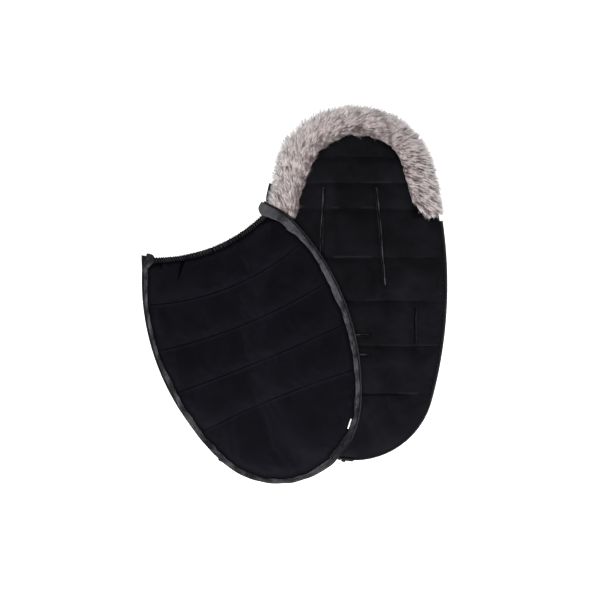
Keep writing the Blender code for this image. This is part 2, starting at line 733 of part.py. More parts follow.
def wadding_pieces():
    """The back's wadding in pieces that meet where the slots end, so that each slot is open between them."""
    slots = {slot.name.replace("_slot", ""): slot for slot in harness_slots()}
    left, right = slots["shoulder_left"], slots["shoulder_right"]
    waist_left, waist_right = slots["waist_left"], slots["waist_right"]
    upper, lower = slots["crotch_upper"], slots["crotch_lower"]
    lap_top = left.y - left.length / 2
    lap_low = waist_left.y + waist_left.length / 2 + GAP
    seat_top = upper.y + HALF_HOLE
    seat_low = lower.y - HALF_HOLE
    return {
        "shoulder_left": (above(lap_top), beside(left, -1)),
        "shoulder_middle": (above(lap_top), beside(left, 1), beside(right, -1)),
        "shoulder_right": (above(lap_top), beside(right, 1)),
        "lap": (below(lap_top), above(lap_low)),
        "hip_left": (below(lap_low), above(seat_low), beside(waist_left, -1)),
        "hip_right": (below(lap_low), above(seat_low), beside(waist_right, 1)),
        "seat_upper": (below(lap_low), above(seat_top), beside(waist_left, 1), beside(waist_right, -1)),
        "seat_left": (below(seat_top), above(seat_low), beside(waist_left, 1), past(upper, -1)),
        "seat_right": (below(seat_top), above(seat_low), beside(waist_right, -1), past(upper, 1)),
        "seat_middle": (beside(upper, -1), beside(lower, 1), keep_within(upper, -1), keep_within(upper, 1)),
        "foot": (below(seat_low),),
    }


def keep_within(slot, side):
    """The wall at the end of a slot across, for wadding that lies along it."""
    return (slot.x + side * (slot.length / 2), 0.0, 0.0), (side, 0.0, 0.0)


def add_patches(maker):
    for name, half, at in (
        ("grip_patch_upper", UPPER_PATCH_HALF, UPPER_PATCH_AT),
        ("grip_patch_lower", LOWER_PATCH_HALF, LOWER_PATCH_AT),
    ):
        bm = bmesh.new()
        bmesh.ops.create_cube(bm, size=UNIT)
        size = (2 * half[0], 2 * half[1], PATCH_THICKNESS)
        bmesh.ops.scale(bm, verts=bm.verts[:], vec=size)
        bmesh.ops.translate(bm, verts=bm.verts[:], vec=(at[0], at[1], PATCH_THICKNESS / 2))
        upright = [e for e in bm.edges if abs(e.verts[0].co.z - e.verts[1].co.z) > PATCH_THICKNESS / 2]
        bmesh.ops.bevel(
            bm,
            geom=upright,
            offset=PATCH_CORNER,
            offset_type="OFFSET",
            affect="EDGES",
            segments=PATCH_CORNER_STEPS,
            profile=0.5,
            material=-1,
        )
        maker.add(name, bm, "grip")


# Fur trim

def fur_section(panel, station, width, height_share, press):
    """One section of the fur: it wraps the cloth's edge, lies on the lining and rounds over."""
    outer = -FUR_OVERHANG
    wrap = CLOTH_INSET - FUR_WRAP_CLEARANCE
    points = [(outer, FUR_WRAP_LEVEL), (wrap, FUR_WRAP_LEVEL)]
    points.append((wrap, back_cloth_top(panel, CLOTH_INSET, FULL_SHARE) + FUR_SEAT))
    knots = [place for place, _ in panel.rise[1:]]
    for number, inset in enumerate(knots):
        inset = min(inset, width - (len(knots) - number) * FUR_KNOT_STEP)
        points.append((inset, back_cloth_top(panel, inset, FULL_SHARE) + FUR_SEAT))
    points.append((width, BACK_TOP + FUR_SEAT))
    top = BACK_TOP + FUR_HEIGHT * height_share
    for across, up in FUR_ROUND_SHARES:
        inset = outer + (width - outer) * across
        low = max(back_cloth_top(panel, min(inset, width), FULL_SHARE), FUR_WRAP_LEVEL)
        points.append((inset, low + (top - low) * up))
    return [(inset, press(station, inset, z)) for inset, z in points]


def under_cover(station, inset, z):
    """Keeps the left end of the fur below the cover that lies on it."""
    x, y = station.x - station.nx * inset, station.y - station.ny * inset
    flat = Matrix.Rotation(-COVER_TURN, 2) @ Vector((x - COVER_AT[0], y - COVER_AT[1]))
    return min(z, drape(flat.x, flat.y) - FUR_PRESS)


def free(station, inset, z):
    return z


def wedge(bm, way):
    """Cuts the fur back above the fold, so the hood can rise; way is +1 on the hood."""
    lean = math.radians(HOOD_RAISE_DEGREES / 2 + WEDGE_SPARE_DEGREES)
    normal = Vector((0.0, -way * math.cos(lean), math.sin(lean)))
    keep_side(bm, FOLD_AXIS, normal)


def add_fur(maker, back, hood):
    ends = len(FUR_END_WIDTH_SHARES)
    around = back.stations()
    left = around[:ends]
    right = around[: -ends - 1 : -1]
    for name, stations, press in (("fur_left", left, under_cover), ("fur_right", right, free)):
        shares = dict(zip(stations, zip(FUR_END_WIDTH_SHARES, FUR_END_HEIGHT_SHARES)))

        def section(station):
            wide, high = shares[station]
            return fur_section(back, station, FUR_WIDTH * wide, high, press)

        bm = loft(stations, section)
        wedge(bm, -1)
        maker.add(name, bm, "fur")

    def hood_section(station):
        width = FUR_WIDTH + (FUR_TOP_WIDTH - FUR_WIDTH) * abs(station.ny)
        return fur_section(hood, station, width, 1.0, free)

    bm = loft(hood.stations(), hood_section)
    wedge(bm, 1)
    bmesh.ops.translate(bm, verts=bm.verts[:], vec=[-value for value in FOLD_AXIS])
    maker.add("fur_hood", bm, "fur", FOLD_AXIS)


# Zips

def edge_stations(oval, side, top_y, end_degrees):
    """Stations down one side of the outline and round the foot to an angle from straight down."""
    found = []
    centre_x = side * oval.side_x
    start = math.asin((top_y - oval.widest_y) / oval.side_radius)
    meet = math.radians(oval.tangent_degrees() - 90.0)
    for step in range(BACK_SIDE_STATIONS):
        angle = start + (meet - start) * step / BACK_SIDE_STATIONS
        nx, ny = side * math.cos(angle), math.sin(angle)
        found.append(Station(centre_x + nx * oval.side_radius, oval.widest_y + ny * oval.side_radius, nx, ny, 0.0))
    end = math.radians(side * end_degrees) - math.pi / 2
    for step in range(BACK_FOOT_STATIONS + 1):
        angle = meet + (end - meet) * step / BACK_FOOT_STATIONS
        nx, ny = side * math.cos(angle), math.sin(angle)
        found.append(Station(nx * oval.foot_radius, oval.foot_y + ny * oval.foot_radius, nx, ny, 0.0))
    return found


def tape_section(low):
    high = low + TAPE_THICKNESS
    return [(0.0, low), (TAPE_WIDTH, low), (TAPE_WIDTH, high), (0.0, high)]


def chain_section(tape_low):
    low = tape_low + TAPE_THICKNESS + GAP
    high = low + CHAIN_HEIGHT
    shoulder = high - CHAIN_CHAMFER
    return [
        (0.0, low),
        (CHAIN_WIDTH, low),
        (CHAIN_WIDTH, shoulder),
        (CHAIN_WIDTH - CHAIN_CHAMFER, high),
        (CHAIN_CHAMFER, high),
        (0.0, shoulder),
    ]


def on_drape(points, station):
    """Lifts a section's points onto what the cover lies on."""
    return [
        (inset, z + drape(station.x - station.nx * inset, station.y - station.ny * inset))
        for inset, z in points
    ]


def along(length, radius):
    """Degrees that a length takes on an arc."""
    return math.degrees(length / radius)


def foot_station(oval, degrees):
    """Station on the foot arc; degrees from straight down, positive to the right."""
    angle = math.radians(degrees) - math.pi / 2
    nx, ny = math.cos(angle), math.sin(angle)
    return Station(nx * oval.foot_radius, oval.foot_y + ny * oval.foot_radius, nx, ny, 0.0)


def end_piece(station, tape_low, lift, width_share=1.0):
    """A small moulded block at the end of a chain, on its tape."""
    reach = END_PIECE_REACH
    middle = (reach[0] + reach[1]) / 2
    width = (reach[1] - reach[0]) * width_share
    bm = bmesh.new()
    bmesh.ops.create_cube(bm, size=UNIT)
    bmesh.ops.scale(bm, verts=bm.verts[:], vec=(width, END_PIECE_LENGTH, END_PIECE_HEIGHT))
    bmesh.ops.bevel(
        bm,
        geom=bm.edges[:],
        offset=END_PIECE_BEVEL,
        offset_type="OFFSET",
        affect="EDGES",
        segments=1,
        profile=0.5,
        material=-1,
    )
    low = tape_low + TAPE_THICKNESS + GAP + lift
    x, y = station.x - station.nx * middle, station.y - station.ny * middle
    turn = Matrix.Rotation(math.atan2(station.ny, station.nx), 4, "Z")
    move = Matrix.Translation((x, y, low + END_PIECE_HEIGHT / 2))
    bmesh.ops.transform(bm, matrix=move @ turn, verts=bm.verts[:])
    return bm


def add_back_zips(maker):
    radius = BACK_FOOT_RADIUS
    fur_end = back_fur_end() - FUR_TO_TAPE
    chain_end = RIGHT_SLIDER_PARK + SLIDER_LENGTH / 2 + CHAIN_PAST_SLIDER
    box_middle = chain_end + GAP + END_PIECE_LENGTH / 2
    tape_end = box_middle + END_PIECE_LENGTH / 2 + GAP
    right_tape = edge_stations(BACK, 1, fur_end, -along(tape_end, radius))
    right_chain = edge_stations(BACK, 1, fur_end, -along(chain_end, radius))
    left_start = tape_end + LEFT_ZIP_FROM_RIGHT
    pin_middle = left_start + GAP + END_PIECE_LENGTH / 2
    left_chain_end = pin_middle + END_PIECE_LENGTH / 2 + GAP
    left_tape = edge_stations(BACK, -1, fur_end, -along(left_start, radius))
    left_chain = edge_stations(BACK, -1, fur_end, -along(left_chain_end, radius))
    low = BACK_TAPE_LOW
    for name, stations, points, cloth in (
        ("back_zip_tape_right", right_tape, tape_section(low), "zip tape"),
        ("back_zip_tape_left", left_tape, tape_section(low), "zip tape"),
        ("back_zip_chain_right", right_chain, chain_section(low), "zip chain"),
        ("back_zip_chain_left", left_chain, chain_section(low), "zip chain"),
    ):
        maker.add(name, loft(stations, lambda station: points), cloth)
    box = end_piece(foot_station(BACK, -along(box_middle, radius)), low, 0.0)
    maker.add("back_zip_box_right", box, "zip metal")
    pin = end_piece(foot_station(BACK, -along(pin_middle, radius)), low, 0.0, PIN_WIDTH_SHARE)
    maker.add("back_zip_pin_left", pin, "zip metal")


def back_fur_end():
    """The row of the back where the fur stops."""
    return back_panel().rows[len(FUR_END_WIDTH_SHARES) - 1][0]


# Front cover

def add_cover(maker, panel):
    def cloth_top(x, y, inset, puff):
        return cover_cloth_top(panel, x, y, inset, puff)

    def cloth_low(x, y, inset, puff):
        return cloth_top(x, y, inset, puff) - SKIN

    def wadding_top(x, y, inset, puff):
        return cloth_low(x, y, inset, puff) - GAP

    def wadding_low(x, y, inset, puff):
        return drape(x, y) + SKIN + GAP

    def lining_top(x, y, inset, puff):
        return drape(x, y) + SKIN

    def lining_low(x, y, inset, puff):
        return drape(x, y)

    rings = panel.rings
    parts = (
        ("cover_lining", rings, lining_low, lining_top, "plush lining"),
        ("cover_wadding", rings[:-1], wadding_low, wadding_top, "wadding"),
        ("cover_shell", rings, cloth_low, cloth_top, "outer cloth"),
    )
    for name, layer_rings, low, high, cloth in parts:
        maker.add(name, layer(panel, layer_rings, low, high), cloth, COVER_ORIGIN, COVER_TURN)


def cover_band(panel, stations):
    """The grey band: a wall on the zip tape and a lip over the cover's edge; it runs past the hem's ends."""

    def section(station):
        def top(inset):
            x, y = station.x - station.nx * inset, station.y - station.ny * inset
            return cover_cloth_top(panel, x, y, inset, station.puff)

        foot = COVER_TAPE_LOW + TAPE_THICKNESS + GAP
        wall = BAND_INSET + BAND_WALL
        feet = on_drape([(BAND_INSET, foot), (wall, foot)], station)
        lip = [CLOTH_INSET, WADDING_INSET, BAND_REACH]
        upper = [(inset, top(inset) + GAP + BAND_THICKNESS) for inset in lip]
        lower = [(inset, top(inset) + GAP) for inset in lip]
        rim = on_drape([(BAND_INSET, COVER_EDGE_TOP + GAP + BAND_THICKNESS)], station)
        shoulder = on_drape([(wall, COVER_EDGE_TOP + GAP)], station)
        return [feet[1], feet[0], rim[0], *upper, *reversed(lower), shoulder[0]]

    longer = [past_end(stations[0], stations[1])] + stations + [past_end(stations[-1], stations[-2])]
    return loft(longer, section, panel.oval)


def past_end(end, neighbour):
    """A station one hem further along the edge than its last one."""
    away = Vector((end.x - neighbour.x, end.y - neighbour.y))
    away.normalize()
    step = away * (2 * HEM_RADIUS)
    return Station(end.x + step.x, end.y + step.y, end.nx, end.ny, end.puff)


def hem_point(panel, x):
    """A point of the hem's middle line, square to the cover's top edge at x."""
    edge_y, bow, _ = panel.rows[0]
    half = panel.oval.half_width(edge_y, COLLAR_WIDTH)
    y = edge_y - bow * (1 - (x / half) ** 2)
    off = Vector((-2 * bow * x / half**2, 1.0))
    off = off.normalized() * (HEM_RADIUS + HEM_CLEARANCE)
    x, y = x + off.x, y + off.y
    return x, y, drape(x, y) + HEM_RADIUS + GAP


def hem_reach(panel):
    """How far from the middle the hem runs before it meets the band's lip, found by halving."""
    near, far = 0.0, panel.oval.half_width(panel.rows[0][0], 0.0)
    while far - near > MERGE:
        middle = (near + far) / 2
        x, y, _ = hem_point(panel, middle)
        if panel.oval.inset(x, y) > BAND_REACH + HEM_CLEARANCE:
            near = middle
        else:
            far = middle
    return near


def tube(name, points, radii, depth, resolution):
    curve = bpy.data.curves.new(name, "CURVE")
    curve.dimensions = "3D"
    curve.bevel_depth = depth
    curve.bevel_resolution = resolution
    curve.use_fill_caps = True
    spline = curve.splines.new("POLY")
    spline.points.add(len(points) - 1)
    for point, place_at, radius in zip(spline.points, points, radii):
        point.co = (*place_at, 1.0)
        point.radius = radius
    return bpy.data.objects.new(name, curve)


def as_mesh(obj):
    """The curve's tube as a closed mesh, with its loose caps welded."""
    bpy.context.scene.collection.objects.link(obj)
    bpy.context.view_layer.update()
    evaluated = obj.evaluated_get(bpy.context.evaluated_depsgraph_get())
    mesh = bpy.data.meshes.new_from_object(evaluated)
    bm = bmesh.new()
    bm.from_mesh(mesh)
    bmesh.ops.transform(bm, matrix=obj.matrix_world, verts=bm.verts[:])
    bmesh.ops.remove_doubles(bm, verts=bm.verts[:], dist=MERGE)
    bpy.data.meshes.remove(mesh)
    bpy.data.objects.remove(obj, do_unlink=True)
    return bm


def add_hem(maker, panel):
    """A gathered tube of cloth with its elastic inside, open at both ends."""
    reach = hem_reach(panel)
    gathers = round(2 * reach / GATHER_PITCH)
    shares = [step / gathers - 1 for step in range(2 * gathers + 1)]
    radii = [1.0 if step % 2 else GATHER_SHARE for step in range(2 * gathers + 1)]
    points = [hem_point(panel, share * reach) for share in shares]
    casing = maker.add(
        "hem_casing",
        as_mesh(tube("hem_casing", points, radii, HEM_RADIUS, 2)),
        "outer cloth",
        COVER_ORIGIN,
        COVER_TURN,
    )
    bore_shares = [2 * step / BORE_STATIONS - 1 for step in range(BORE_STATIONS + 1)]
    bore_path = [hem_point(panel, share * reach) for share in bore_shares]
    longer = [lengthen(bore_path[1], bore_path[0])] + bore_path + [lengthen(bore_path[-2], bore_path[-1])]
    even = [1.0] * len(longer)
    bore = maker.cutter("hem_bore", as_mesh(tube("hem_bore", longer, even, HEM_BORE, 1)))
    bore.location = COVER_ORIGIN
    bore.rotation_euler = (0.0, 0.0, COVER_TURN)
    cut(casing, bore)
    inner = as_mesh(tube("hem_elastic", bore_path, even, ELASTIC_RADIUS, 1))
    maker.add("hem_elastic", inner, "elastic", COVER_ORIGIN, COVER_TURN)


def lengthen(inner, end):
    """A point past the end of a path, in line with its last run."""
    away = Vector(end) - Vector(inner)
    away.normalize()
    return tuple(Vector(end) + away * CUT_OVERRUN)


def add_cover_trim(maker, panel):
    stations = panel.stations()
    foot_start = len(panel.rows) - 1 - COVER_FOOT_ROWS
    left = stations[: foot_start + COVER_LEFT_ZIP_ROWS + 1]
    right = stations[: -foot_start - COVER_RIGHT_ZIP_ROWS - 2 : -1]
    tape = tape_section(COVER_TAPE_LOW)
    chain = chain_section(COVER_TAPE_LOW)
    for name, path, points, cloth in (
        ("cover_zip_tape_left", left, tape, "zip tape"),
        ("cover_zip_tape_right", right, tape, "zip tape"),
        ("cover_zip_chain_left", left[:-1], chain, "zip chain"),
        ("cover_zip_chain_right", right[:-1], chain, "zip chain"),
    ):
        bm = loft(path, lambda station: on_drape(points, station), panel.oval)
        maker.add(name, bm, cloth, COVER_ORIGIN, COVER_TURN)
    for name, path, width_share in (
        ("cover_zip_box_left", left, 1.0),
        ("cover_zip_pin_right", right, PIN_WIDTH_SHARE),
    ):
        chain_stop, tape_stop = path[-2], path[-1]
        run = Vector((tape_stop.x - chain_stop.x, tape_stop.y - chain_stop.y))
        share = (END_PIECE_LENGTH / 2 + GAP) / run.length
        mixed = [a + (b - a) * share for a, b in zip(chain_stop, tape_stop)]
        station = Station(*mixed)
        reach = [station.x - station.nx * CHAIN_WIDTH, station.y - station.ny * CHAIN_WIDTH]
        lift = max(drape(station.x, station.y), drape(*reach)) + drape_step(station, run)
        bm = end_piece(station, COVER_TAPE_LOW, lift, width_share)
        maker.add(name, bm, "zip metal", COVER_ORIGIN, COVER_TURN)
    band = cover_band(panel, stations)
    maker.add("cover_band", band, "band", COVER_ORIGIN, COVER_TURN)


def drape_step(station, run):
    """How much the drape rises along half an end piece."""
    run = run.normalized() * (END_PIECE_LENGTH / 2)
    here = drape(station.x, station.y)
    ahead = drape(station.x + run.x, station.y + run.y)
    behind = drape(station.x - run.x, station.y - run.y)
    return max(ahead, behind, here) - here


def add_tag(maker, panel):
    degrees = along(TAG_ROUND, COVER_FOOT_RADIUS)
    station = foot_station(COVER, degrees)
    middle = BAND_REACH - TAG_WIDTH / 2 + BAND_WALL
    x, y = station.x - station.nx * middle, station.y - station.ny * middle
    inner_x, inner_y = station.x - station.nx * BAND_REACH, station.y - station.ny * BAND_REACH
    low = cover_cloth_top(panel, inner_x, inner_y, BAND_REACH, FULL_SHARE) + GAP + BAND_THICKNESS + GAP
    bm = bmesh.new()
    bmesh.ops.create_cube(bm, size=UNIT)
    bmesh.ops.scale(bm, verts=bm.verts[:], vec=(TAG_WIDTH, TAG_LENGTH, TAG_THICKNESS))
    turn = Matrix.Rotation(math.atan2(station.ny, station.nx), 4, "Z")
    move = Matrix.Translation((x, y, low + TAG_THICKNESS / 2))
    bmesh.ops.transform(bm, matrix=move @ turn, verts=bm.verts[:])
    maker.add("side_tag", bm, "tag", COVER_ORIGIN, COVER_TURN)


# Sliders and pulls

def slider_body(tape_low):
    """The slider in its own frame: +X outwards from the edge, +Y along the chain, Z as the muff's."""
    low = tape_low - SLIDER_ROOM - SLIDER_PLATE
    under = tape_low - SLIDER_ROOM
    chain_top = tape_low + TAPE_THICKNESS + GAP + CHAIN_HEIGHT
    over = chain_top + SLIDER_ROOM
    top = over + SLIDER_PLATE
    flange = tape_low + TAPE_THICKNESS + SLIDER_ROOM

    def section(station):
        taper = SLIDER_TAPER_SHARE + (1 - SLIDER_TAPER_SHARE) * station.puff
        outer = SLIDER_OUTER * taper
        return [
            (-outer, low),
            (SLIDER_INNER, low),
            (SLIDER_INNER, under),
            (-POST_INNER, under),
            (-POST_INNER, over),
            (SLIDER_INNER - SLIDER_FLANGE, over),
            (SLIDER_INNER - SLIDER_FLANGE, flange),
            (SLIDER_INNER, flange),
            (SLIDER_INNER, top),
            (-outer, top),
            (-outer, flange),
            (-outer + SLIDER_FLANGE, flange),
            (-outer + SLIDER_FLANGE, over),
            (-POST_OUTER, over),
            (-POST_OUTER, under),
            (-outer, under),
        ]

    places = ((-SLIDER_LENGTH / 2, 0.0), (0.0, 1.0), (SLIDER_LENGTH / 2, 1.0))
    stations = [Station(0.0, y, 1.0, 0.0, full) for y, full in places]
    return loft(stations, section), top


def bail(top):
    """An arch over the slider, along the chain, that holds the pull's end bar."""
    half = BAIL_SPAN / 2
    points = [(-CHAIN_WIDTH / 2, -half, top - SLIDER_PLATE / 2)]
    for step in range(BAIL_STEPS + 1):
        angle = math.pi * (1 - step / BAIL_STEPS)
        up = (BAIL_ROOM + BAIL_RADIUS) * math.sin(angle) ** 0.5
        points.append((-CHAIN_WIDTH / 2, half * math.cos(angle), top + up))
    points.append((-CHAIN_WIDTH / 2, half, top - SLIDER_PLATE / 2))
    points[1] = (points[1][0], points[1][1], top + BAIL_RADIUS)
    points[-2] = (points[-2][0], points[-2][1], top + BAIL_RADIUS)
    return as_mesh(tube("bail", points, [1.0] * len(points), BAIL_RADIUS, 1))


def pull_plate():
    """The pull in its own frame: its end bar lies on the origin along X, and the plate runs to +Y."""
    curve = bpy.data.curves.new("pull", "CURVE")
    curve.dimensions = "2D"
    curve.fill_mode = "BOTH"
    curve.extrude = PULL_THICKNESS / 2
    tip = PULL_HALF_WIDTH * PULL_TIP_SHARE
    shoulder = PULL_LENGTH - PULL_HALF_WIDTH
    outline = [
        (-PULL_HALF_WIDTH, -PULL_BAR),
        (PULL_HALF_WIDTH, -PULL_BAR),
        (PULL_HALF_WIDTH, shoulder),
        (tip, PULL_LENGTH),
        (-tip, PULL_LENGTH),
        (-PULL_HALF_WIDTH, shoulder),
    ]
    eye = [
        (-EYE_HALF_WIDTH, PULL_BAR),
        (EYE_HALF_WIDTH, PULL_BAR),
        (EYE_HALF_WIDTH, EYE_REACH),
        (-EYE_HALF_WIDTH, EYE_REACH),
    ]
    for ring in (outline, eye):
        spline = curve.splines.new("POLY")
        spline.points.add(len(ring) - 1)
        spline.use_cyclic_u = True
        for point, (x, y) in zip(spline.points, ring):
            point.co = (x, y, 0.0, 1.0)
    return as_mesh(bpy.data.objects.new("pull", curve))


def add_slider(maker, prefix, tape_low, station, turn_over, pivot, frame):
    """Slider and pull at a station; pivot and frame put them into the muff's frame."""
    body, top = slider_body(tape_low)
    arch = bail(top)
    heading = math.atan2(station.ny, station.nx)
    local = Matrix.Translation((station.x, station.y, 0.0)) @ Matrix.Rotation(heading, 4, "Z")
    flip = Matrix.Scale(-1.0, 4, Vector((0.0, 1.0, 0.0))) if turn_over else Matrix.Identity(4)
    world = frame @ local
    home = Matrix.Translation([-value for value in pivot])
    bmesh.ops.transform(body, matrix=home @ world @ flip, verts=body.verts[:])
    bmesh.ops.transform(arch, matrix=world @ flip, verts=arch.verts[:])
    slider = maker.add(prefix + "_slider", body, "zip metal", pivot)
    cut(slider, maker.cutter(prefix + "_bail", arch), "UNION")
    bar = Vector((-CHAIN_WIDTH / 2, 0.0, top + GAP + PULL_THICKNESS / 2))
    at = world @ bar
    plate = pull_plate()
    turn = world.to_3x3().to_4x4() @ flip
    bmesh.ops.transform(plate, matrix=turn, verts=plate.verts[:])
    maker.add(prefix + "_pull", plate, "zip metal", at)


def add_sliders(maker):
    degrees = -along(RIGHT_SLIDER_PARK, BACK_FOOT_RADIUS)
    right = foot_station(BACK, degrees)
    pivot = (0.0, BACK.foot_y, 0.0)
    add_slider(maker, "right", BACK_TAPE_LOW, right, False, pivot, Matrix.Identity(4))
    up = along(LEFT_SLIDER_PARK, COVER.side_radius)
    angle = math.radians(COVER.tangent_degrees() - 90.0 + up)
    nx, ny = -math.cos(angle), math.sin(angle)
    centre_x = -COVER.side_x
    left = Station(centre_x + nx * COVER.side_radius, COVER.widest_y + ny * COVER.side_radius, nx, ny, 0.0)
    frame = Matrix.Translation(COVER_ORIGIN) @ Matrix.Rotation(COVER_TURN, 4, "Z")
    axis = cover_to_world(centre_x, COVER.widest_y)
    add_slider(maker, "left", COVER_TAPE_LOW, left, True, (axis[0], axis[1], 0.0), frame)


def main():
    clear_scene()
    maker = Maker()
    back, hood, cover = back_panel(), hood_panel(), cover_panel()
    add_patches(maker)
    add_slots(maker, add_cloth(maker, back, "back", HOME))
    for name, walls in wadding_pieces().items():
        add_wadding(maker, back, "back_wadding_" + name, HOME, walls)
    add_cloth(maker, hood, "hood", FOLD_AXIS)
    add_wadding(maker, hood, "hood_wadding", FOLD_AXIS)
    add_fur(maker, back, hood)
    add_back_zips(maker)
    add_cover(maker, cover)
    add_cover_trim(maker, cover)
    add_hem(maker, cover)
    add_tag(maker, cover)
    add_sliders(maker)


main()
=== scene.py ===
"""Looks of a stroller footmuff laid open: a quilted back with a fur-trimmed hood, and its cover beside it."""

import math

from collections import namedtuple

import bmesh
import bpy
import numpy as np
from mathutils import Matrix, Vector, kdtree, noise


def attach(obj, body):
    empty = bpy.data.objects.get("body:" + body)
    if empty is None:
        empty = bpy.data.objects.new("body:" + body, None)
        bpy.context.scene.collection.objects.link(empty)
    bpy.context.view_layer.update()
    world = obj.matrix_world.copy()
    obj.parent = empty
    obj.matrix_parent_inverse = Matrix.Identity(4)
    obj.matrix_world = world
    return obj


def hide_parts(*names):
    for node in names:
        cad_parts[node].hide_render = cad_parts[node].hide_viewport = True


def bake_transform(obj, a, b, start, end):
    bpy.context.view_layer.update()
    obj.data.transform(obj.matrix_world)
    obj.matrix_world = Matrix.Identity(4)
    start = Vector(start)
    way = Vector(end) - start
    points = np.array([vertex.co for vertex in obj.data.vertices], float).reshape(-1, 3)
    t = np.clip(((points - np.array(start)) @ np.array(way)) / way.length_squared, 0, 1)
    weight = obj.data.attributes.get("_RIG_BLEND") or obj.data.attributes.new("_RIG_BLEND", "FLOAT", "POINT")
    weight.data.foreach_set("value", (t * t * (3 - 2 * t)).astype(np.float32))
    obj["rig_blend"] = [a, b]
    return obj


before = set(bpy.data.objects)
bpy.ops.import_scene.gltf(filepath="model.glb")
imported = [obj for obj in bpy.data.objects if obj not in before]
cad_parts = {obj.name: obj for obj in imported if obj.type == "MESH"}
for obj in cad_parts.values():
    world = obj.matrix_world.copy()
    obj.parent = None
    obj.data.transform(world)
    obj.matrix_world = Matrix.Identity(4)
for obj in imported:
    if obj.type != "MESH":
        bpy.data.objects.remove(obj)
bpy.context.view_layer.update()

# Outlines, as the pattern pieces are cut
BACK_HALF_WIDTH, BACK_HALF_LENGTH = 0.263, 0.495
COVER_HALF_WIDTH = 0.2786
COVER_AT = (-0.4099, 0.1564)  # where the middle of the line between its upper corners lies
COVER_TURN = math.radians(22.4)
COVER_DIP = 0.0588  # how far its top edge hangs in the middle
CLOTH_INSET = 0.0085  # from the outline to a panel's cloth
COLLAR = 0.048  # width of the rim round a panel's quilting

# Quilting seams: heights on the back, heights and bows on the cover
HOOD_SEAM, FOLD = 0.3559, 0.28215
BACK_SEAMS = (0.2109, 0.0733, -0.0480, -0.1742, -0.3089)
COVER_SEAMS = ((-0.1456, 0.0308), (-0.2701, 0.0176), (-0.3946, 0.0044), (-0.5191, -0.0088))

# Levels of the back over the floor, and of the cover over what it lies on
BACK_TAPE_LOW, BACK_EDGE_TOP, BACK_CROWN, BACK_TOP = 0.0024, 0.0045, 0.0200, 0.0207
COVER_TAPE_LOW, COVER_EDGE_TOP, COVER_CROWN = 0.0018, 0.0042, 0.0265
CLOTH = 0.0010
CLOTH_LEAST = 0.0034  # the lowest that a panel's upper cloth lies
FILLING_DROP = 0.0034  # from the cover's upper cloth to its filling
TAPE_WIDTH, TAPE_THICKNESS = 0.013, 0.0008
BACK_ROUNDING = 0.019  # how far in from the edge the back fills out

# Hem of the cover
HEM_RADIUS = 0.0062
HEM_DROP = 2 * HEM_RADIUS + 0.0007

GRID = 0.0062  # thread grid that the quilted cloth is worked on before it is subdivided

# A place on an edge, the way out from there, and how far along the edge it is
Spot = namedtuple("Spot", "x y nx ny s")


def clamp(value, low=0.0, high=1.0):
    return min(max(value, low), high)


def smooth(share):
    share = clamp(share)
    return share * share * (3.0 - 2.0 * share)


def mix(a, b, share):
    return a + (b - a) * share


def hump(distance, width, power=2):
    """1 on a line, and next to nothing two widths away from it."""
    return math.exp(-((distance / width) ** power))


def fade(distance, length):
    """1 at no distance, and ever less further off."""
    return math.exp(-distance / length)


def rough(x, y, size, seed=0.0):
    """Smooth random height between about -1 and 1, with lumps of the given size."""
    return noise.noise(Vector((x / size, y / size, seed)))


def none(*_):
    """The height, width or light of something that a piece does without."""
    return 0.0


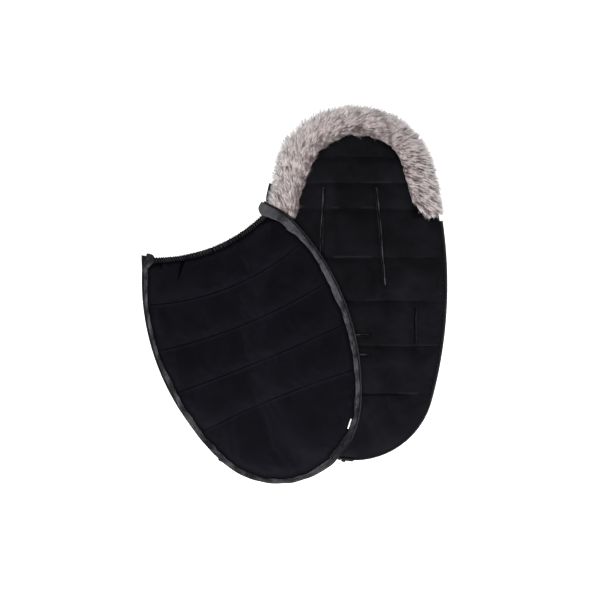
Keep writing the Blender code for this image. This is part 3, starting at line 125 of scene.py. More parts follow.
class Outline:
    """Tangent arcs, symmetric about the outline's own Y axis: a foot, two sides and perhaps a head."""

    def __init__(self, half_span, widest, side_radius, foot, head=None):
        self.half_span, self.widest, self.side_radius = half_span, widest, side_radius
        self.foot, self.head = foot, head
        self.side_x = half_span - side_radius

    def past(self, x, y, centre_y):
        """Which side of the line through two arcs' centres a point lies on: below 0 or above it."""
        return -self.side_x * (y - self.widest) - (centre_y - self.widest) * (x - self.side_x)

    def arc(self, x, y):
        """Centre and radius of the arc that a point belongs to."""
        if self.past(abs(x), y, self.foot[0]) < 0.0:
            return 0.0, *self.foot
        if self.head and self.past(abs(x), y, self.head[0]) > 0.0:
            return 0.0, *self.head
        return math.copysign(1.0, x) * self.side_x, self.widest, self.side_radius

    def inset(self, x, y):
        cx, cy, radius = self.arc(x, y)
        return radius - math.hypot(x - cx, y - cy)

    def pulled_in(self, x, y, inset):
        """The nearest point of the outline drawn in by inset."""
        cx, cy, radius = self.arc(x, y)
        away = Vector((x - cx, y - cy)).normalized() * (radius - inset)
        return cx + away.x, cy + away.y

    def half_width(self, y, inset):
        found = self.side_x + math.sqrt(max((self.side_radius - inset) ** 2 - (y - self.widest) ** 2, 0.0))
        if self.past(found, y, self.foot[0]) < 0.0:
            found = math.sqrt(max((self.foot[1] - inset) ** 2 - (y - self.foot[0]) ** 2, 0.0))
        elif self.head and self.past(found, y, self.head[0]) > 0.0:
            found = math.sqrt(max((self.head[1] - inset) ** 2 - (y - self.head[0]) ** 2, 0.0))
        return found

    def bowed(self, x, y, bow):
        """Height at x of a seam whose ends lie at y and whose middle hangs by its bow."""
        return y - bow * (1 - (x / max(self.half_width(y, COLLAR), 0.1)) ** 2)

    def meet(self, end):
        """Angle at which a side arc runs into the foot or the head."""
        return math.atan2(end[0] - self.widest, -self.side_x)

    def along(self, x, y):
        """How far round the rim a point lies: from the left end of the top, by the foot, to its right end."""
        meet = self.meet(self.foot)
        foot_run = (meet + math.pi / 2) * self.foot[1]
        half = (math.asin(-self.widest / self.side_radius) - meet) * self.side_radius + foot_run
        cx, cy, radius = self.arc(x, y)
        angle = math.atan2(y - cy, abs(x) + abs(cx))
        run = foot_run + (angle - meet) * radius if cy == self.widest else (angle + math.pi / 2) * radius
        return half + math.copysign(run, x)

    def rim(self, from_y, step, end=None):
        """Spots from the left side at a height, round the foot or the head, to the right side."""
        end = end or self.foot
        start, meet = math.asin((from_y - self.widest) / self.side_radius), self.meet(end)
        spots, run = [], 0.0
        for centre, radius, begin, stop in (
            ((self.side_x, self.widest), self.side_radius, start, meet),
            ((0.0, end[0]), end[1], meet, math.copysign(math.pi / 2, meet)),
        ):
            count = max(2, round(abs(stop - begin) * radius / step))
            for number in range(1 if spots else 0, count + 1):
                angle = mix(begin, stop, number / count)
                nx, ny = math.cos(angle), math.sin(angle)
                x, y = centre[0] + nx * radius, centre[1] + ny * radius
                if spots:
                    run += math.hypot(x - spots[-1].x, y - spots[-1].y)
                spots.append(Spot(x, y, nx, ny, run))
        left = [Spot(-p.x, p.y, -p.nx, p.ny, p.s) for p in spots]
        return left + [Spot(p.x, p.y, p.nx, p.ny, 2 * run - p.s) for p in spots[-2::-1]]


BACK = Outline(BACK_HALF_WIDTH, -0.001372, 1.232377, (-0.268, 0.227), (0.269, 0.226))
COVER = Outline(COVER_HALF_WIDTH, -0.322, 0.680217, (-0.521, 0.232))
COVER_FRAME = Matrix.Translation((*COVER_AT, 0.0)) @ Matrix.Rotation(COVER_TURN, 4, "Z")


def to_cover(x, y):
    """A place on the floor as the cover's own x and y."""
    return Matrix.Rotation(-COVER_TURN, 2) @ Vector((x - COVER_AT[0], y - COVER_AT[1]))


def drape(x, y):
    """Height of the cover's underside, climbing from the floor onto the back and over the fur's end."""
    turned = Matrix.Rotation(COVER_TURN, 2) @ Vector((x, y))
    wx, wy = turned.x + COVER_AT[0], turned.y + COVER_AT[1]
    fur_end = math.hypot(wx + 0.200, wy - 0.240)
    return 0.0210 * smooth((BACK.inset(wx, wy) + 0.065) / 0.100) + 0.012 * smooth(1 - fur_end / 0.110)


# Finishes

WAVE_PERIOD = 0.314  # metres between a wave texture's bands at a scale of 1
PILE_GRAINS = 900.0  # to a metre: coarser than real pile, which would not show from here
STROKED_PATCHES = 11.0  # to a metre
DOT_PITCH = 0.006
# Black that painted shade mixes cloth towards
PAINTED_SHADE_BLACK = (0.0008, 0.0008, 0.001, 1.0)
COLOURS = {"data_type": "RGBA"}
MULTIPLIED = {"data_type": "RGBA", "blend_type": "MULTIPLY"}


def colour(hexadecimal):
    """A linear colour from its sRGB hex value."""
    parts = [int(hexadecimal[at : at + 2], 16) / 255 for at in (0, 2, 4)]
    return (*[c / 12.92 if c <= 0.04045 else ((c + 0.055) / 1.055) ** 2.4 for c in parts], 1.0)


def add(tree, kind, settings=None, inputs=None):
    """Adds a node. Settings are its properties; inputs are numbers, colours or the outputs that feed it."""
    node = tree.nodes.new("ShaderNode" + kind)
    for name, value in (settings or {}).items():
        setattr(node, name, value)
    for name, value in (inputs or {}).items():
        if isinstance(value, bpy.types.NodeSocket):
            tree.links.new(value, node.inputs[name])
        else:
            node.inputs[name].default_value = value
    return node


def start_finish(name, roughness, **sockets):
    """A material with its shader's own numbers set; returns the material, its tree and its shader."""
    material = bpy.data.materials.new(name)
    material.use_nodes = True
    tree = material.node_tree
    shader = tree.nodes["Principled BSDF"]
    shader.inputs["Roughness"].default_value = roughness
    for socket, value in sockets.items():
        shader.inputs[socket.replace("_", " ")].default_value = value
    return material, tree, shader


def cloth_colour(tree, shader, share, base, light, slope):
    """Mixes base to light on raised threads, as a painted sheen on slopes and as painted highlights on lit
    seams, and to black as painted shade where cloth is tucked in.
    """
    # Painted sheen: cloth tilted away from flat is mixed towards its light colour
    normal = add(tree, "TexCoord").outputs["Normal"]
    upright = add(tree, "SeparateXYZ", inputs={"Vector": normal}).outputs["Z"]
    steep = {"Value": upright, "From Min": 0.995, "From Max": 0.90, "To Max": slope}
    slope_sheen = add(tree, "MapRange", inputs=steep).outputs[0]
    # Painted highlights, from the lit attribute
    lit = add(tree, "Attribute", {"attribute_name": "lit"}).outputs["Fac"]
    raised = add(tree, "Math", {"operation": "ADD"}, {0: share, 1: slope_sheen}).outputs[0]
    total = add(tree, "Math", {"operation": "ADD", "use_clamp": True}, {0: raised, 1: lit}).outputs[0]
    weave_and_highlight_colour = add(tree, "Mix", COLOURS, {"Factor": total, 6: colour(base), 7: colour(light)}).outputs[2]
    # Painted shade, from the shade attribute, mixed towards black
    shade = add(tree, "Attribute", {"attribute_name": "shade"}).outputs["Fac"]
    tucked = {"Value": shade, "From Min": 0.15, "From Max": 1.0, "To Min": 0.0, "To Max": 0.92}
    painted_shade = add(tree, "MapRange", inputs=tucked).outputs[0]
    shaded_colour = add(tree, "Mix", COLOURS, {"Factor": painted_shade, 6: weave_and_highlight_colour, 7: PAINTED_SHADE_BLACK}).outputs[2]
    tree.links.new(shaded_colour, shader.inputs["Base Color"])


def woven(name, base, light, roughness, thread, crease, gloss,
          mottle=0.05, patchy=0.9, uv=False, lean=0.0, slope=0.0):
    """Cloth of crossing threads, sized in metres. Light colours raised threads, painted sheen and painted
    highlights; gloss scales the shine.
    """
    material, tree, shader = start_finish(name, roughness, Specular_IOR_Level=gloss)
    where = add(tree, "TexCoord").outputs["UV" if uv else "Object"]
    turned = add(tree, "Mapping", inputs={"Vector": where, "Rotation": (0.0, 0.0, lean)}).outputs[0]
    spacing = {"Vector": turned, "Scale": WAVE_PERIOD / thread, "Distortion": 0.6}
    warp, weft = [add(tree, "TexWave", {"bands_direction": way}, spacing).outputs["Fac"] for way in "XY"]
    weave = add(tree, "Math", {"operation": "MULTIPLY"}, {0: warp, 1: weft}).outputs[0]
    blotches = {"Vector": where, "Scale": 1 / mottle, "Detail": 4.0}
    patches = add(tree, "TexNoise", inputs=blotches).outputs["Fac"]
    lift = add(tree, "Math", {"operation": "MULTIPLY_ADD"}, {0: weave, 1: 0.25, 2: patches}).outputs[0]
    worn = {"Value": lift, "From Min": 0.40, "From Max": 1.0, "To Max": patchy}
    cloth_colour(tree, shader, add(tree, "MapRange", inputs=worn).outputs[0], base, light, slope)
    crumples = {"Vector": where, "Scale": 1 / crease, "Detail": 3.0, "Roughness": 0.55}
    crumple = add(tree, "TexNoise", inputs=crumples).outputs["Fac"]
    dents = {"Height": crumple, "Distance": crease * 0.05, "Strength": 0.6}
    soft = add(tree, "Bump", inputs=dents).outputs[0]
    ribs = {"Height": weave, "Distance": thread * 0.18, "Strength": 0.5, "Normal": soft}
    tree.links.new(add(tree, "Bump", inputs=ribs).outputs[0], shader.inputs["Normal"])
    return material


def plush(name, base, light, slope):
    """Short brushed pile: it catches light in stroked patches, and shades to black between them."""
    material, tree, shader = start_finish(name, 0.95, Specular_IOR_Level=0.02)
    where = add(tree, "TexCoord").outputs["Object"]
    patches = {"Vector": where, "Scale": STROKED_PATCHES, "Detail": 4.0, "Distortion": 0.5}
    stroked = add(tree, "TexNoise", inputs=patches).outputs["Fac"]
    pile = add(tree, "TexNoise", inputs={"Vector": where, "Scale": PILE_GRAINS, "Detail": 2.0}).outputs["Fac"]
    both = add(tree, "Math", {"operation": "MULTIPLY_ADD"}, {0: pile, 1: 0.4, 2: stroked}).outputs[0]
    brushed = {"Value": both, "From Min": 0.5, "From Max": 1.1, "To Max": 0.7}
    cloth_colour(tree, shader, add(tree, "MapRange", inputs=brushed).outputs[0], base, light, slope)
    nap = add(tree, "Bump", inputs={"Height": both, "Distance": 0.0006, "Strength": 0.5})
    tree.links.new(nap.outputs[0], shader.inputs["Normal"])
    return material


def fur_fibre(name):
    """Hair dark at the root and frosted at the tip, each lock a little lighter or browner than the next."""
    material, tree, shader = start_finish(name, 0.55, Sheen_Weight=0.7, Sheen_Roughness=0.5)
    tip = add(tree, "Attribute", {"attribute_name": "tip"}).outputs["Fac"]
    tone = add(tree, "Attribute", {"attribute_name": "tone"}).outputs["Fac"]
    ramp = add(tree, "ValToRGB", inputs={"Fac": tip})
    stops = ((0.0, "3E2E2F"), (0.42, "C2ADAD"), (0.64, "FFF1F0"), (1.0, "FFFDFC"))
    for place, _ in stops[1:3]:
        ramp.color_ramp.elements.new(place)
    for element, (place, shade) in zip(ramp.color_ramp.elements, stops):
        element.position, element.color = place, colour(shade)
    # The tone darkens hair both for browner locks and for painted shade
    browned_and_shaded = {"Factor": tone, 6: ramp.outputs[0], 7: colour("5A4142")}
    tree.links.new(add(tree, "Mix", MULTIPLIED, browned_and_shaded).outputs[2], shader.inputs["Base Color"])
    return material


def speckled(name, base, roughness, grain, depth, **sockets):
    """Moulded, cast or felted material with a fine grain; grain and depth are in metres."""
    material, tree, shader = start_finish(name, roughness, **sockets)
    where = add(tree, "TexCoord").outputs["Object"]
    grains = add(tree, "TexNoise", inputs={"Vector": where, "Scale": 1 / grain, "Detail": 3.0}).outputs["Fac"]
    tone = add(tree, "MapRange", inputs={"Value": grains, "To Min": 0.75, "To Max": 1.25}).outputs[0]
    shade = add(tree, "Mix", MULTIPLIED, {"Factor": 1.0, 6: colour(base), 7: tone}).outputs[2]
    tree.links.new(shade, shader.inputs["Base Color"])
    bump = add(tree, "Bump", inputs={"Height": grains, "Distance": depth, "Strength": 0.6})
    tree.links.new(bump.outputs[0], shader.inputs["Normal"])
    return material


def dotted(name, base, dot_colour):
    """Coated cloth with rows of raised rubber dots."""
    material, tree, shader = start_finish(name, 0.7)
    where = add(tree, "TexCoord").outputs["Object"]
    grid = {"Vector": where, "Scale": 1 / DOT_PITCH, "Randomness": 0.0}
    dots = add(tree, "TexVoronoi", {"feature": "F1"}, grid).outputs["Distance"]
    raised = add(tree, "MapRange", inputs={"Value": dots, "From Min": 0.42, "From Max": 0.30}).outputs[0]
    shade = add(tree, "Mix", COLOURS, {"Factor": raised, 6: colour(base), 7: colour(dot_colour)}).outputs[2]
    tree.links.new(shade, shader.inputs["Base Color"])
    bump = add(tree, "Bump", inputs={"Height": raised, "Distance": 0.0006, "Strength": 0.8})
    tree.links.new(bump.outputs[0], shader.inputs["Normal"])
    return material


# Real threads lie 0.2 to 0.5 mm apart, too fine to show from here, so every weave is drawn coarser,
# with its threads 0.8 to 1.6 mm apart.

# Brushed microfibre of the cover: quite matt and nearly black, with a painted cool sheen where it slopes away
MICROFIBRE = woven("peached polyester microfibre", "0A090D", "18171D", roughness=0.82, thread=0.0011,
                   crease=0.030, gloss=0.02, patchy=0.40, slope=0.35)
# The same cloth drawn up by elastic, as a lighter copy with painted light: its folds' tops catch more light
# than flat cloth does
GATHERED_LIT = woven("gathered microfibre", "0D0D10", "343439", roughness=0.82, thread=0.0011,
                 crease=0.010, gloss=0.03, patchy=0.4)
# Coated polyester underneath: tight and smooth, with a faint shine
UNDERSIDE = woven("coated polyester", "101013", "1A1A1E", roughness=0.7, thread=0.0012,
                  crease=0.040, gloss=0.08)
# Knitted lining with a cropped pile: it swallows light but for vague patches where a hand passed
VELOUR = plush("velour pile", "0B0B0D", "1D1D22", slope=0.08)
# Binding of slanted ribs: dark grey, lighter in random patches, with painted highlights and painted shade
# where it rolls over
TWILL = woven("grey twill tape", "1C1C1F", "606065", roughness=0.75, thread=0.0016,
              crease=0.012, gloss=0.08, mottle=0.014, patchy=0.55, uv=True, lean=0.785)
# Zip tape: flat and dark, a little shinier than the cloth beside it
ZIP_TAPE = woven("herringbone zip tape", "101012", "1E1E22", roughness=0.8, thread=0.0012,
                 crease=0.020, gloss=0.1, uv=True, lean=0.6)
# Satin bias strip round the slots: black, with a thin beaded painted highlight along its rolled lip
PIPING = woven("satin piping", "0C0C0F", "56565C", roughness=0.5, thread=0.0010,
               crease=0.008, gloss=0.05, mottle=0.010, patchy=0.15, uv=True)
# Elastic inside the hem: off-white with a soft shine
ELASTIC = woven("braided elastic", "D9D7D0", "ECEAE4", roughness=0.7, thread=0.0012, crease=0.010, gloss=0.3)
# Label ribbon: bright white, smooth and slightly glossy
LABEL = woven("white satin ribbon", "E6E5E0", "F6F5F1", roughness=0.45, thread=0.0008,
              crease=0.012, gloss=0.4)
# Faux fur of two tones: pale, frosted tips over dark roots, so that every gap between locks shows brown
FUR = fur_fibre("frosted acrylic fur")
# Knitted backing of the fur: dull and brownish, seen only between locks
PELT = speckled("fur backing", "4A403D", 0.95, grain=0.002, depth=0.0004)
# Drawn nylon of the zips: smooth and half glossy, each loop with its own small highlight
NYLON = speckled("nylon coil", "1C1C1F", 0.4, grain=0.0010, depth=0.00004, IOR=1.53)
# Die-cast zinc under dark lacquer: soft metal shine on sliders, boxes and pins
GUNMETAL = speckled("lacquered zinc", "2A2A2C", 0.34, grain=0.0012, depth=0.00003, Metallic=0.9)
# Grip patches: dull cloth with darker dots that stand out of it
RUBBER = dotted("dotted rubber", "1A1A1D", "0D0D0E")
# Carded polyester: white, matt and loose
WADDING = speckled("polyester wadding", "D9D8D4", 0.95, grain=0.004, depth=0.0015)


# Making pieces

def opened(mesh):
    """A mesh as a bmesh, to be worked on."""
    bm = bmesh.new()
    bm.from_mesh(mesh)
    return bm


def put_back(bm, mesh):
    """Writes a bmesh into a mesh, which may be a new one, and lets go of it."""
    bm.to_mesh(mesh)
    bm.free()
    return mesh


def light_marks(bm):
    """Attributes for painted shade and painted highlights: where cloth is out of the light, and where it
    catches it.
    """
    return bm.verts.layers.float.new("shade"), bm.verts.layers.float.new("lit")


def as_piece(name, bm, finish, body=None, replaced=()):
    """Turns a bmesh into a smooth-shaded piece, which rides on a body if one is named."""
    mesh = put_back(bm, bpy.data.meshes.new(name))
    mesh.shade_smooth()
    obj = bpy.data.objects.new(name, mesh)
    bpy.context.scene.collection.objects.link(obj)
    return dress(obj, finish, body, replaced)


def dress(obj, finish, body=None, replaced=()):
    obj.data.materials.clear()
    obj.data.materials.append(finish)
    if body:
        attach(obj, body)
    if replaced:
        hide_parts(*replaced)
    return obj


def bend_with_hood(obj):
    """Lets a piece of the back bend at the seam that the hood folds up about."""
    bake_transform(obj, "back", "hood", start=(0, FOLD - 0.006, 0), end=(0, FOLD + 0.018, 0))


def ride_cover(obj, node):
    """Lets a piece ride on the cover, in place of a node."""
    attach(obj, "cover")
    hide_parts(node)


def worked_mesh(obj):
    """Replaces an object's mesh by what its modifiers make of it, and takes them off."""
    bpy.context.view_layer.update()
    made = bpy.data.meshes.new_from_object(obj.evaluated_get(bpy.context.evaluated_depsgraph_get()))
    old, obj.data = obj.data, made
    obj.modifiers.clear()
    bpy.data.meshes.remove(old)


def wall(obj, thickness, offset=-1.0):
    """Gives a sheet its thickness, below its surface."""
    modifier = obj.modifiers.new("cloth", "SOLIDIFY")
    modifier.thickness, modifier.offset = thickness, offset
    modifier.use_rim = True
    worked_mesh(obj)


def finer(obj):
    """Subdivides a mesh once."""
    modifier = obj.modifiers.new("finer", "SUBSURF")
    modifier.levels = modifier.render_levels = 1
    worked_mesh(obj)


def points_of(mesh):
    flat = np.empty(len(mesh.vertices) * 3, np.float32)
    mesh.vertices.foreach_get("co", flat)
    return flat.reshape(-1, 3).astype(float)


def put_points(mesh, points):
    mesh.vertices.foreach_set("co", np.asarray(points, np.float32).ravel())
    mesh.update()


def loft(spots, section, closed=False):
    """Carries a closed section along spots. section(spot) lists (inset, z) pairs; the UV map is in metres."""
    rings = [section(spot) for spot in spots]
    corners, last = len(rings[0]), len(spots) - 1
    bm = bmesh.new()
    bmesh.ops.create_grid(bm, x_segments=corners, y_segments=last, size=1.0)
    uv = bm.loops.layers.uv.new("UVMap")
    girth = [0.0]
    for (a, b), (c, d) in zip(rings[0], rings[0][1:] + rings[0][:1]):
        girth.append(girth[-1] + math.hypot(a - c, b - d))
    place = {}
    for vert in bm.verts:
        place[vert] = (round((vert.co.y + 1) / 2 * last), round((vert.co.x + 1) / 2 * corners))
    for face in bm.faces:
        for loop in face.loops:
            along, corner = place[loop.vert]
            loop[uv].uv = (spots[along].s, girth[corner])
    for vert, (along, corner) in place.items():
        spot = spots[along]
        inset, z = rings[along][corner % corners]
        vert.co = (spot.x - spot.nx * inset, spot.y - spot.ny * inset, z)
    bmesh.ops.remove_doubles(bm, verts=bm.verts[:], dist=0.000005)
    if not closed:
        bmesh.ops.holes_fill(bm, edges=[e for e in bm.edges if e.is_boundary], sides=0)
    bmesh.ops.recalc_face_normals(bm, faces=bm.faces[:])
    return bm


def repeated(name, template, places, attributes=None):
    """Copies a small closed mesh, once for each row of places, which holds its corners' positions."""
    holder = bpy.data.objects.new(name, template)
    bpy.context.scene.collection.objects.link(holder)
    array = holder.modifiers.new("copies", "ARRAY")
    array.count = len(places)
    array.use_relative_offset = False
    worked_mesh(holder)
    put_points(holder.data, np.asarray(places).reshape(-1, 3))
    for label, values in (attributes or {}).items():
        layer = holder.data.attributes.new(label, "FLOAT", "POINT")
        layer.data.foreach_set("value", np.asarray(values, np.float32).ravel())
    holder.data.shade_smooth()
    return holder


def placed(template, frames):
    """Corner positions of a small mesh set down in each frame (origin and three axes)."""
    shape = points_of(template)
    origins = np.array([f[0] for f in frames])
    axes = np.array([f[1] for f in frames])
    return origins[:, None, :] + np.einsum("kc,fcd->fkd", shape, axes)


# Quilted cloth

BILLOW_FRAMES, BILLOW_PRESSURE = 22, 0.6


def thread_rows(marks, fills, step):
    """Rows of the cloth's grid, end to end: (y, bow, place in its channel from seam 0 to seam 1)."""
    rows = []
    for (y0, bow0), (y1, bow1), (t0, t1) in zip(marks, marks[1:], fills):
        count = max(4, round(abs(y1 - y0) / step))
        for share in (number / count for number in range(count)):
            rows.append((mix(y0, y1, share), mix(bow0, bow1, share), mix(t0, t1, share)))
    return rows + [(*marks[-1], fills[-1][1])]


def cut_cloth(outline, rows, inset):
    """A flat grid of cloth cut to the outline, with its rows along the seams."""
    columns, last = 2 * round(outline.half_span / GRID), len(rows) - 1
    bm = bmesh.new()
    bmesh.ops.create_grid(bm, x_segments=columns, y_segments=last, size=1.0)
    channel = bm.verts.layers.float.new("channel")
    sewn = bm.verts.layers.float.new("seam")
    outside = set()
    for vert in bm.verts:
        y, bow, t = rows[round((1 - vert.co.y) / 2 * last)]
        x = vert.co.x * outline.half_span
        y = outline.bowed(x, y, bow)
        vert[channel] = t
        vert[sewn] = 1.0 if t in (0.0, 1.0) else 0.0
        vert.co = (x, y, 0.0)
        if outline.inset(x, y) < inset:
            outside.add(vert)
    waste = [f for f in bm.faces if all(v in outside for v in f.verts)]
    bmesh.ops.delete(bm, geom=waste, context="FACES")
    for vert in [v for v in bm.verts if v in outside]:
        vert.co.x, vert.co.y = outline.pulled_in(vert.co.x, vert.co.y, inset)
    bmesh.ops.remove_doubles(bm, verts=bm.verts[:], dist=0.0018)
    crease = bm.edges.layers.float.new("crease_edge")
    for edge in bm.edges:
        if all(v[sewn] == 1.0 for v in edge.verts):
            edge[crease] = 0.8
    return bm


def plump(t):
    """Fullness of a channel, from seam to seam."""
    return 1.0 - abs(2.0 * t - 1.0) ** 2.6


def raise_cloth(bm, height):
    channel = bm.verts.layers.float["channel"]
    for vert in bm.verts:
        vert.co.z = height(vert.co.x, vert.co.y, vert[channel])


def crease_cloth(obj, shade, lit=none, lower=none, least=none):
    """Works small creases into finished cloth, no lower than least, and marks its painted shade and painted
    highlights.
    """
    bm = opened(obj.data)
    painted_shade, painted_highlight = light_marks(bm)
    for vert in bm.verts:
        x, y, z = vert.co
        vert[painted_shade], vert[painted_highlight] = shade(x, y), lit(x, y)
        vert.co.z = max(z - lower(x, y), least(x, y))
    put_back(bm, obj.data)


def billow(obj, growth, cap, also_held=none):
    """Lets cloth fill out between its sewn seams as it does over wadding; no point moves further than cap."""
    seam = obj.data.attributes["seam"].data
    bm = opened(obj.data)
    edge = {vert.index for vert in bm.verts if vert.is_boundary}
    bm.free()
    held = []
    for vert in obj.data.vertices:
        if vert.index in edge or seam[vert.index].value > 0.5 or also_held(vert.co.x, vert.co.y):
            held.append(vert.index)
    obj.vertex_groups.new(name="sewn").add(held, 1.0, "REPLACE")
    before = points_of(obj.data)
    cloth = obj.modifiers.new("billow", "CLOTH")
    setting = cloth.settings
    setting.quality, setting.mass = 5, 0.15
    setting.tension_stiffness = setting.compression_stiffness = 12.0
    setting.shear_stiffness, setting.bending_stiffness = 4.0, 0.2
    setting.vertex_group_mass = "sewn"
    setting.shrink_min = -growth
    setting.use_pressure, setting.uniform_pressure_force = True, BILLOW_PRESSURE
    setting.effector_weights.gravity = 0.0
    cloth.collision_settings.use_collision = False
    cloth.point_cache.frame_start, cloth.point_cache.frame_end = 1, BILLOW_FRAMES
    for frame_number in range(1, BILLOW_FRAMES + 1):
        bpy.context.scene.frame_set(frame_number)
    worked_mesh(obj)
    moved = points_of(obj.data) - before
    length = np.maximum(np.linalg.norm(moved, axis=1), 1e-9)
    moved *= np.minimum(1.0, cap / length)[:, None]
    put_points(obj.data, before + moved)
    obj.vertex_groups.clear()
    bpy.context.scene.frame_set(1)


def puff_up(obj, low, high):
    """Turns a flat sheet into a closed filling between two surfaces."""
    bm = opened(obj.data)
    channel = bm.verts.layers.float["channel"]
    grown = bmesh.ops.extrude_face_region(bm, geom=bm.faces[:], use_keep_orig=True)["geom"]
    upper = {g for g in grown if isinstance(g, bmesh.types.BMVert)}
    for vert in bm.verts:
        vert.co.z = (high if vert in upper else low)(vert.co.x, vert.co.y, vert[channel])
    bmesh.ops.recalc_face_normals(bm, faces=bm.faces[:])
    put_back(bm, obj.data)


# Harness slots: middle, half length, lean
Slot = namedtuple("Slot", "name x y half_length lean")
SLOTS = (
    Slot("shoulder_slot_left", -0.0900, 0.13444, 0.140, math.radians(-2.2)),
    Slot("shoulder_slot_right", 0.0737, 0.13444, 0.140, math.radians(5.0)),
    Slot("waist_slot_left", -0.1725, -0.1140, 0.057, 0.0),
    Slot("waist_slot_right", 0.1725, -0.1140, 0.057, 0.0),
    Slot("crotch_slot_upper", -0.0030, -0.1430, 0.046, math.pi / 2),
    Slot("crotch_slot_lower", -0.0030, -0.1980, 0.046, math.pi / 2),
)
SLOT_CUT = 0.0040  # half the width of the cut in the cloth
CUT_SHORT = 0.0026  # how much sooner than its slot a cut ends
WELT = 0.0052  # how far a slot's lips reach from its middle line
WADDING_ROOM = 0.0004  # between the lips and the wadding
SLOT_BENDS = {  # how far the slit wanders aside of the middle line, along it from its lower end
    "shoulder_slot_left": (
        (-0.14, 0.0), (-0.06, 0.0), (-0.015, -0.0032), (0.028, -0.0029), (0.08, 0.0012), (0.14, 0.0003)),
    "shoulder_slot_right": (
        (-0.135, 0.0003), (-0.09, 0.0017), (-0.044, 0.0006), (0.02, 0.0029), (0.08, 0.0020), (0.14, 0.0)),
    "waist_slot_right": ((-0.057, 0.0), (0.0, -0.0012), (0.057, 0.0)),
    "crotch_slot_lower": ((-0.046, -0.0014), (0.0, 0.0), (0.046, 0.0010)),
}
# Painted highlight on a slit's lip: how brightly it shows, and from which place along it
SLOT_HIGHLIGHT = {
    "shoulder_slot_left": 0.34, "shoulder_slot_right": 0.36,
    "crotch_slot_upper": 0.40, "crotch_slot_lower": 0.25,
}
SLOT_LIT_FROM = {"crotch_slot_upper": -0.020, "crotch_slot_lower": -0.040}


def slot_axes(slot):
    """Across and along a slot."""
    lean = slot.lean
    return Vector((math.cos(lean), math.sin(lean))), Vector((-math.sin(lean), math.cos(lean)))


def to_slot(x, y):
    """Distance to the nearest slot's middle line."""
    gaps = []
    for slot in SLOTS:
        across, along = slot_axes(slot)
        off = Vector((x - slot.x, y - slot.y))
        gaps.append(math.hypot(off @ across, max(abs(off @ along) - slot.half_length, 0.0)))
    return min(gaps)


def faces_by(slot, bm, room, reach):
    """Faces of a sheet that lie near a slot's middle: within room across the slot and reach along it."""
    across, along = [axis.to_3d() for axis in slot_axes(slot)]
    middle = Vector((slot.x, slot.y, 0.0))
    offs = [(face, face.calc_center_median() - middle) for face in bm.faces]
    return [face for face, off in offs if abs(off @ across) < room and abs(off @ along) < reach]


def open_slots(obj, half_width, longer):
    """Cuts the slots through a sheet of cloth along straight lines."""
    bm = opened(obj.data)
    for slot in SLOTS:
        across, along = [axis.to_3d() for axis in slot_axes(slot)]
        middle, half_length = Vector((slot.x, slot.y, 0.0)), slot.half_length + longer
        cuts = ((across, half_width), (-across, half_width), (along, half_length), (-along, half_length))
        for way, reach in cuts:
            near = faces_by(slot, bm, half_width + 0.012, slot.half_length + 0.012)
            edges = {e for f in near for e in f.edges}
            verts = {v for f in near for v in f.verts}
            place, geometry = middle + way * reach, near + list(edges) + list(verts)
            bmesh.ops.bisect_plane(bm, geom=geometry, plane_co=place, plane_no=way, dist=0.0002)
        bmesh.ops.delete(bm, geom=faces_by(slot, bm, half_width, half_length), context="FACES")
    put_back(bm, obj.data)


# Back and hood

BACK_MARKS = [(y, 0.0) for y in (BACK_HALF_LENGTH, HOOD_SEAM, FOLD, *BACK_SEAMS, -BACK_HALF_LENGTH)]
BACK_FILLS = [(0.5, 1.0)] + [(0.0, 1.0)] * 6 + [(0.0, 0.5)]
BACK_WADDING = [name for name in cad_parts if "wadding" in name and not name.startswith("cover")]
# Stretches of seam whose upper lip catches the light, as a painted highlight: seam, from x, to x, how much
LIT_SEAMS = (
    (FOLD, 0.025, 0.106, 0.6), (BACK_SEAMS[0], -0.067, -0.036, 0.6), (BACK_SEAMS[0], 0.017, 0.059, 0.6),
    (BACK_SEAMS[1], -0.062, 0.052, 0.9), (BACK_SEAMS[2], 0.03, 0.07, 0.4), (BACK_SEAMS[3], 0.066, 0.240, 0.4),
    (BACK_SEAMS[4], 0.120, 0.185, 0.6),
)


def channel_place(y):
    """Where between two seams of the back a height lies, from 0 to 1."""
    marks = [mark[0] for mark in BACK_MARKS]
    for high, low, (t0, t1) in zip(marks, marks[1:], BACK_FILLS):
        if y >= low:
            return mix(t0, t1, (high - y) / (high - low))
    return 0.5


def back_height(x, y, t):
    """Top of the quilted back: full between the seams, drawn down at them, at the slots and at the edge."""
    rise = 1.0 - fade(max(BACK.inset(x, y) - CLOTH_INSET, 0.0), BACK_ROUNDING)
    fullness = rise * (1.0 - (0.46 - 0.18 * smooth((y - 0.18) / 0.06)) * (1.0 - plump(t)))
    z = BACK_EDGE_TOP + (BACK_CROWN - BACK_EDGE_TOP) * fullness
    z += rise * (0.0011 * rough(x, y, 0.12, 1.0) + 0.0005 * rough(x, y, 0.045, 2.0))
    near_seam = math.exp(-min(t, 1 - t) * 14.0)
    z += 0.0011 * near_seam * rise * rough(x, 0.4 * y, 0.011, 3.0)
    gap = to_slot(x, y)
    z -= 0.0030 * rise * hump(gap, 0.012)
    return z + 0.0009 * fade(gap, 0.016) * rough(x * 0.5, y, 0.010, 4.0) * rise


def back_seam(y):
    """Height over the nearest seam of the back, negative below it."""
    return min((y - seam for seam in (HOOD_SEAM, FOLD) + BACK_SEAMS), key=abs)


